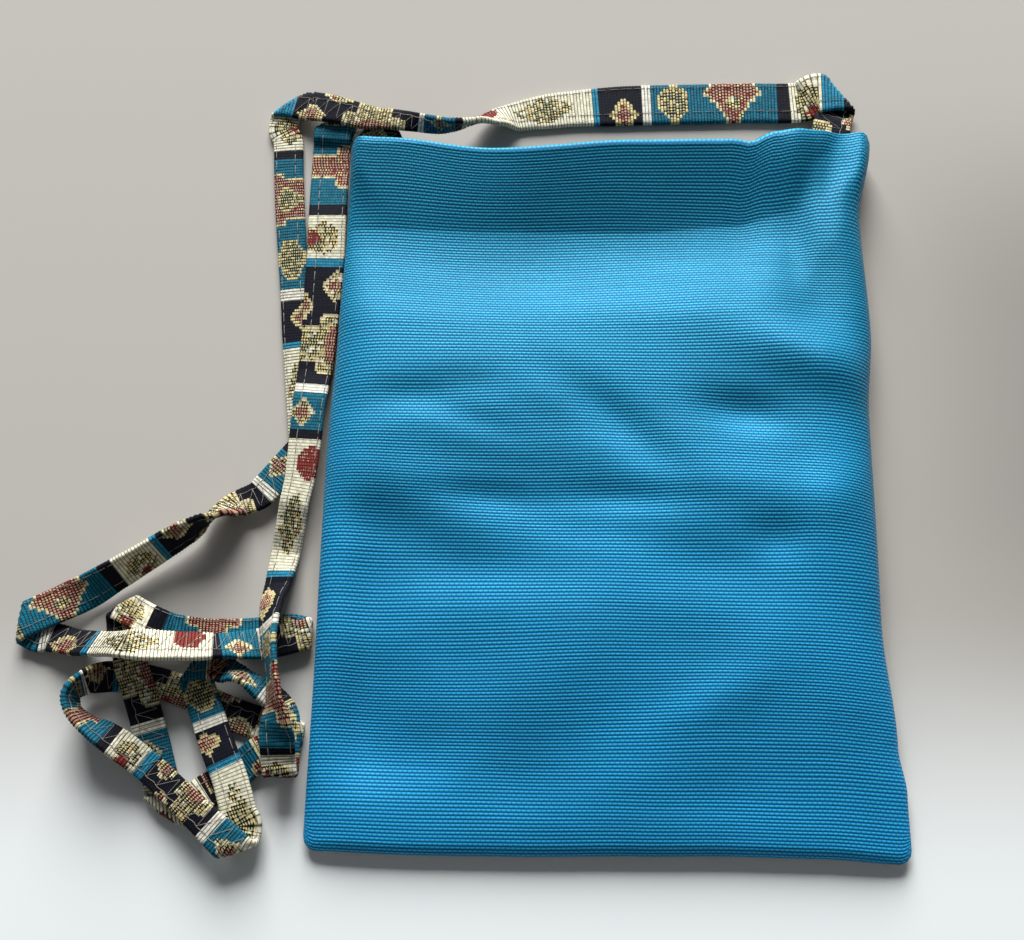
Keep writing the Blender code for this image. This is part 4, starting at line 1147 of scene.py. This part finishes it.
    def close_side(self, rim, column, rows, columns):
        """Triangles over the cut side, between the outer and the inner run of the section."""
        first, second = 0, rows - 1
        made = []
        while second - first > 1:
            step_first = np.linalg.norm(rim[first + 1] - rim[second])
            step_second = np.linalg.norm(rim[second - 1] - rim[first])
            if step_first <= step_second:
                made.append((first, first + 1, second))
                first += 1
            else:
                made.append((first, second - 1, second))
                second -= 1
        flip = column == 0
        made = [tuple(reversed(face)) if flip else face for face in made]
        return [[index * columns + column for index in face] for face in made]


# Hollows and swellings of the slack cloth, from a fit to the photo's shading that was then merged and
# rounded: middle, half widths, turn and height, in millimetres and degrees
BACK_DENTS = (
    (64, 96, 8, 14, -70, 2.8),
    (-30, 50, 28, 12, 0, -3.2),
    (57, 56, 7, 16, 15, -3.0),
    (60, 28, 18, 6, -20, 3.6),
    (-50, 18, 16, 4, 10, -1.2),
    (36, 14, 8, 4, -10, -2.2),
    (-34, 11, 12, 3, -20, -0.8),
    (-14, 11, 12, 4, -20, -0.8),
    (3, 11, 12, 4, -40, -2.2),
    (14, 5, 28, 5, -20, 0.6),
    (-18, -5, 28, 6, -10, -2.0),
    (68, -5, 14, 6, 30, 1.6),
    (31, -8, 20, 5, 0, 1.2),
    (-31, -9, 9, 3, -5, -1.0),
    (3, -10, 18, 3, 0, -1.0),
    (-18, -15, 20, 4, -10, -1.8),
    (-56, -17, 15, 6, -10, -2.8),
    (-22, -20, 15, 4, -10, -0.8),
    (44, -20, 5, 4, 0, -1.2),
    (25, -27, 10, 6, 0, -1.2),
    (-34, -28, 24, 6, 0, -2.6),
    (48, -33, 18, 8, -10, -1.0),
    (42, -45, 18, 6, 50, 0.6),
    (22, -47, 12, 8, 0, -0.8),
    (-64, -47, 18, 6, 0, 1.0),
    (-37, -49, 28, 14, -25, -3.0),
    (-61, -49, 7, 20, 0, -3.2),
    (-17, -58, 15, 10, 25, 2.0),
    (27, -62, 14, 4, 25, 0.6),
    (-50, -76, 24, 9, -15, -2.6),
    (-37, -81, 11, 6, 10, 1.0),
    (5, -83, 28, 8, 25, 1.0),
    (15, -98, 28, 5, 0, 3.2),
)
FRONT_DENTS = ((-20, 30, 24, 12, 0, -0.3), (30, -30, 26, 14, 10, -0.3))


def kilim_panel_class(rib, cell):
    """Yarn of one stitch of the front: bands of large stepped diamonds over the whole width."""
    band, local = divmod(rib, PANEL_BAND)
    ground, body, core = PANEL_GROUNDS[band % len(PANEL_GROUNDS)]
    if local < 3:
        return "white"
    if local >= PANEL_BAND - 2:
        return "dark"
    middle = (PANEL_BAND + 1) // 2
    shifted = cell + (PANEL_REPEAT // 2 if band % 2 else 0)
    offset = shifted % PANEL_REPEAT - PANEL_REPEAT / 2 + 0.5
    reach = int(abs(offset) / 1.5)
    tall = abs(local - middle)
    size = middle - 4
    if tall + reach <= size * 0.36:
        return core
    if tall + reach <= size * 0.45:
        return "outline"
    if tall + reach <= size * 0.86:
        return body
    if tall + reach <= size:
        return "outline"
    return ground


PANEL_BAND = 34
PANEL_REPEAT = 46
PANEL_GROUNDS = (("navy", "red", "gold"), ("teal", "cream", "red"), ("dark", "gold", "blue"),
                 ("cream", "navy", "red"))


class RibbedCloth(Cloth):
    cell = DOT_PITCH


class KilimCloth(Cloth):
    cell = STITCH

    def colour(self, obj, along_ribs, columns):
        """Each face's yarns, from the stitch that it lies in."""
        points = np.empty(len(obj.data.vertices) * 3)
        obj.data.vertices.foreach_get("co", points)
        across = points[::3]
        classes = []
        for face in obj.data.polygons:
            corners = list(face.vertices)
            rib = int(max(along_ribs[index // columns] for index in corners) - 0.25)
            cell = int(math.floor(across[corners].mean() / STITCH + WEAVE_SHIFT))
            classes.append(kilim_panel_class(rib, cell))
        ground, dots = yarn_arrays([classes])
        add_colours(obj, "ground", ground[0])
        add_colours(obj, "dot", dots[0])


def plain_cloth(name, colour, roughness, pitch, height):
    """Fine plain woven cloth, such as the zip's tapes."""
    nodes = Nodes(name, roughness, 0.0, {"Sheen Weight": 0.15, "Specular IOR Level": 0.3})
    across, up, out = nodes.split(nodes.place((1.0 / pitch, 1.0 / pitch, 1.0 / pitch)))
    relief = nodes.times(wave(nodes, across, 0.8), wave(nodes, nodes.maths("ADD", up, out), 0.8))
    tone = nodes.tinted((*colour, 1.0), nodes.ramp(relief, 0.0, 1.0, 0.55, 1.25))
    return nodes.finish(tone, None, nodes.bump(relief, height, 0.9))


def thread_finish(name, colour):
    """Sewing thread or yarn: a fine twist along no set direction."""
    nodes = Nodes(name, 0.7, 0.0, {"Sheen Weight": 0.2})
    grain = nodes.noise(nodes.place(), 2600.0, 3.0, 0.7)
    tone = nodes.tinted((*colour, 1.0), nodes.ramp(grain, 0.3, 0.7, 0.78, 1.15))
    return nodes.finish(tone, None, nodes.bump(grain, 0.00004, 0.6))


def nickel_finish():
    """Nickel plate, satin from handling: fine scratches and a slightly uneven sheen."""
    nodes = Nodes("nickel", 0.3, 1.0)
    fine = nodes.noise(nodes.place((1.0, 1.0, 14.0)), 900.0, 3.0, 0.6)
    broad = nodes.noise(nodes.place(), 160.0, 3.0, 0.55)
    mixed = nodes.maths("MULTIPLY_ADD", fine, 0.5, nodes.times(broad, 0.5))
    tone = nodes.mix(nodes.ramp(broad, 0.3, 0.7), (0.60, 0.585, 0.55, 1.0), (0.70, 0.69, 0.665, 1.0))
    return nodes.finish(tone, nodes.ramp(mixed, 0.3, 0.7, 0.22, 0.42), nodes.bump(fine, 0.00001, 0.4))


def coil_finish():
    """Black nylon filament with a soft shine."""
    nodes = Nodes("zip_coil", 0.36)
    grain = nodes.noise(nodes.place(), 700.0, 2.0)
    tone = nodes.mix(grain, (0.008, 0.008, 0.009, 1.0), (0.020, 0.020, 0.022, 1.0))
    return nodes.finish(tone, nodes.ramp(grain, 0.3, 0.7, 0.30, 0.45))


def coil_points(side, start, end, shift, samples):
    """One row's filament: flattened loops that reach just past the middle, and lie on the tape behind."""
    turns = int((end - start) / TOOTH_PITCH) - 1
    count = turns * samples + 1
    angle = 2.0 * np.pi * np.arange(count) / samples
    x = start + COIL_WIRE + (shift + angle / (2.0 * np.pi)) * TOOTH_PITCH
    reach = (COIL_INNER + COIL_OUTER) / 2 + (COIL_OUTER - COIL_INNER) / 2 * np.cos(angle)
    reach += COIL_FLATTEN * np.cos(3.0 * angle)
    rise = COIL_MIDDLE + COIL_HALF * np.sin(angle)
    return np.stack([x, rise, SEAM_HEIGHT + side * reach], axis=1)


def build_coils(finish, thread):
    """Two helical rows whose loops mesh half a pitch apart, each sewn down along its middle."""
    start = OPEN_X - SLIDER_LENGTH / 2 - ZIP_GAP
    end = CLOSED_X + WEDGE_FROM_CENTRE - ZIP_GAP
    for word, side, shift in (("back", +1, 0.0), ("front", -1, 0.5)):
        line = coil_points(side, start, end, shift, 20)[None]
        out = np.zeros_like(line)
        out[..., 0] = 1.0
        coil = tubes(f"coil_{word}", line, out, COIL_WIRE, 8, finish)
        put(coil, "bag", "zip_coil", f"zip_coil_{word}")
        stitches = []
        for reach in SEWING_REACH:
            steps = np.arange(start + TOOTH_PITCH, end - TOOTH_PITCH, TOOTH_PITCH)
            share = np.linspace(-0.5, 0.5, 7)
            x = steps[:, None] + share * TOOTH_PITCH
            y = COIL_MIDDLE + COIL_HALF + COIL_WIRE + SEWING_LIFT - SEWING_DIP * np.abs(2.0 * share) ** 4
            z = np.full_like(x, SEAM_HEIGHT + side * reach)
            stitches.append(np.stack([x, np.broadcast_to(y, x.shape), z], axis=-1))
        lines = np.concatenate(stitches)
        ups = np.zeros_like(lines)
        ups[..., 1] = 1.0
        put(tubes(f"coil_sewing_{word}", lines, ups, SEWING_THREAD, 5, thread), "bag", "zip_tape")


def put(obj, body, slot, *nodes):
    """Rides a piece on its body and hides the solids that it stands for; the slot is not used."""
    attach(obj, body)
    if nodes:
        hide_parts(*nodes)
    return obj


def softened(node, name, width, finish):
    """A copy of a metal solid with rounded edges."""
    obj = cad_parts[node].copy()
    obj.data = obj.data.copy()
    obj.name = name
    obj.data.materials.clear()
    obj.data.materials.append(finish)
    bpy.context.collection.objects.link(obj)
    bm = bmesh.new()
    bm.from_mesh(obj.data)
    bmesh.ops.remove_doubles(bm, verts=bm.verts, dist=1e-6)
    bmesh.ops.dissolve_limit(bm, angle_limit=0.02, verts=bm.verts, edges=bm.edges)
    bm.to_mesh(obj.data)
    bm.free()
    bevel = obj.modifiers.new("round", "BEVEL")
    bevel.width = width
    bevel.segments = 3
    bevel.limit_method = "ANGLE"
    bevel.angle_limit = math.radians(28)
    bevel.use_clamp_overlap = True
    obj.modifiers.new("normals", "WEIGHTED_NORMAL").keep_sharp = True
    obj.data.shade_smooth()
    return obj


# Metal pieces: node, name, body and width of the rounding
METAL_PIECES = (
    ("top_stop_back", "stop_top_back", "bag", 0.00016),
    ("top_stop_front", "stop_top_front", "bag", 0.00016),
    ("bottom_stop", "stop_bottom", "bag", 0.00016),
    ("zip_slider", "slider_body", "slider", 0.00018),
    ("zip_pull", "pull_tab", "pull", 0.00022),
)


def build_zip():
    """Coils, tapes, stops, slider and pull."""
    tape = plain_cloth("zip_tape", (0.013, 0.013, 0.015), 0.8, 0.0005, 0.00008)
    build_coils(coil_finish(), thread_finish("tape_thread", (0.016, 0.016, 0.018)))
    for word in ("back", "front"):
        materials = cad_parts[f"zip_tape_{word}"].data.materials
        materials.clear()
        materials.append(tape)
    metal = nickel_finish()
    for node, name, body, width in METAL_PIECES:
        put(softened(node, name, width, metal), body, "nickel", node)


def build_stage():
    """A pale floor with painted light near the bag, painted shade further off and a painted shadow to its
    right.
    """
    points = [(x * FLOOR_REACH, y * FLOOR_REACH, FLOOR_Z) for x, y in ((-1, -1), (1, -1), (1, 1), (-1, 1))]
    nodes = Nodes("floor", 0.9, 0.0, {"Specular IOR Level": 0.1})
    across, up, _ = nodes.split(nodes.here())
    # painted light near the bag fading to painted shade further off
    tone = nodes.mix(nodes.ramp(up, *NEAR_TO_FAR_Y), FLOOR_NEAR_PAINTED_LIGHT, FLOOR_FAR_PAINTED_SHADE)
    # painted shadow to the right of the bag
    shaded = nodes.times(nodes.ramp(across, *PAINTED_SHADOW_X), nodes.ramp(up, *PAINTED_SHADOW_LOW_Y))
    shaded = nodes.times(shaded, nodes.ramp(up, *PAINTED_SHADOW_HIGH_Y, 1.0, 0.0))
    tone = nodes.mix(shaded, tone, FLOOR_RIGHT_PAINTED_SHADOW)
    floor = mesh_object("floor", points, [(0, 1, 2, 3)], nodes.finish(tone))


def add_light(name, place, size, power, colour):
    """A square light that faces the bag."""
    data = bpy.data.lights.new(name, "AREA")
    data.size = size
    data.energy = power
    data.color = colour
    light = bpy.data.objects.new(name, data)
    light.location = place
    light.rotation_euler = (-Vector(place)).to_track_quat("-Z", "Y").to_euler()
    bpy.context.collection.objects.link(light)


def build_view():
    """Studio light, world and the photo's camera."""
    add_light("key", KEY_PLACE, KEY_SIZE, KEY_POWER, (1.0, 0.99, 0.97))
    add_light("fill", FILL_PLACE, FILL_SIZE, FILL_POWER, (0.95, 0.98, 1.0))
    world = bpy.data.worlds.new("studio")
    world.use_nodes = True
    background = world.node_tree.nodes["Background"]
    background.inputs["Color"].default_value = (0.96, 0.98, 1.0, 1.0)
    background.inputs["Strength"].default_value = WORLD_STRENGTH
    bpy.context.scene.world = world
    data = bpy.data.cameras.new("photo_view")
    data.sensor_width = SENSOR
    data.lens = LENS
    data.clip_start = 0.01
    camera = bpy.data.objects.new("photo_view", data)
    camera.location = CAMERA_PLACE
    camera.rotation_euler = Euler([math.radians(angle) for angle in CAMERA_TURN], "XYZ")
    bpy.context.collection.objects.link(camera)
    scene = bpy.context.scene
    scene.camera = camera
    scene.view_settings.view_transform = "Standard"


def put_panel(made, slot, node):
    put(made, "bag", slot, node)


def build_bag():
    """The ribbed back and the kilim front."""
    back = RibbedCloth(+1, BACK_CLOTH, back_rise, BACK_LEFT, BACK_EDGE, BACK_COLUMNS, RIB_PITCH, 4,
                       RIB_RELIEF, BACK_DENTS)
    made, _, _ = back.build("back_panel_cloth", ribbed_cloth())
    put_panel(made, "ribbed_cloth", "back_panel")
    front = KilimCloth(-1, FRONT_CLOTH, front_rise, FRONT_LEFT, FRONT_EDGE, FRONT_COLUMNS, STITCH, 2,
                       STITCH_RELIEF, FRONT_DENTS)
    made, along_ribs, columns = front.build("front_panel_cloth", kilim_yarn("kilim_cloth"))
    front.colour(made, along_ribs, columns)
    put_panel(made, "kilim_cloth", "front_panel")


def build_carrier():
    """The shoulder strap with its stitching."""
    sheet = Sheet(STRAP_RIB / 2)
    strap = build_strap(sheet, kilim_yarn("strap_cloth"))
    put(strap, "bag", "strap_cloth", "shoulder_strap")
    threads = build_strap_threads(sheet, thread_finish("strap_thread", (0.26, 0.235, 0.20)))
    for thread in threads:
        put(thread, "bag", "strap_cloth")
    middle = sheet.places[:, len(sheet.sides) // 2]
    tuple(middle[0])
    [tuple(spot) for spot in middle]


def main():
    build_bag()
    build_carrier()
    build_zip()
    build_stage()
    build_view()


main()
bpy.context.view_layer.update()
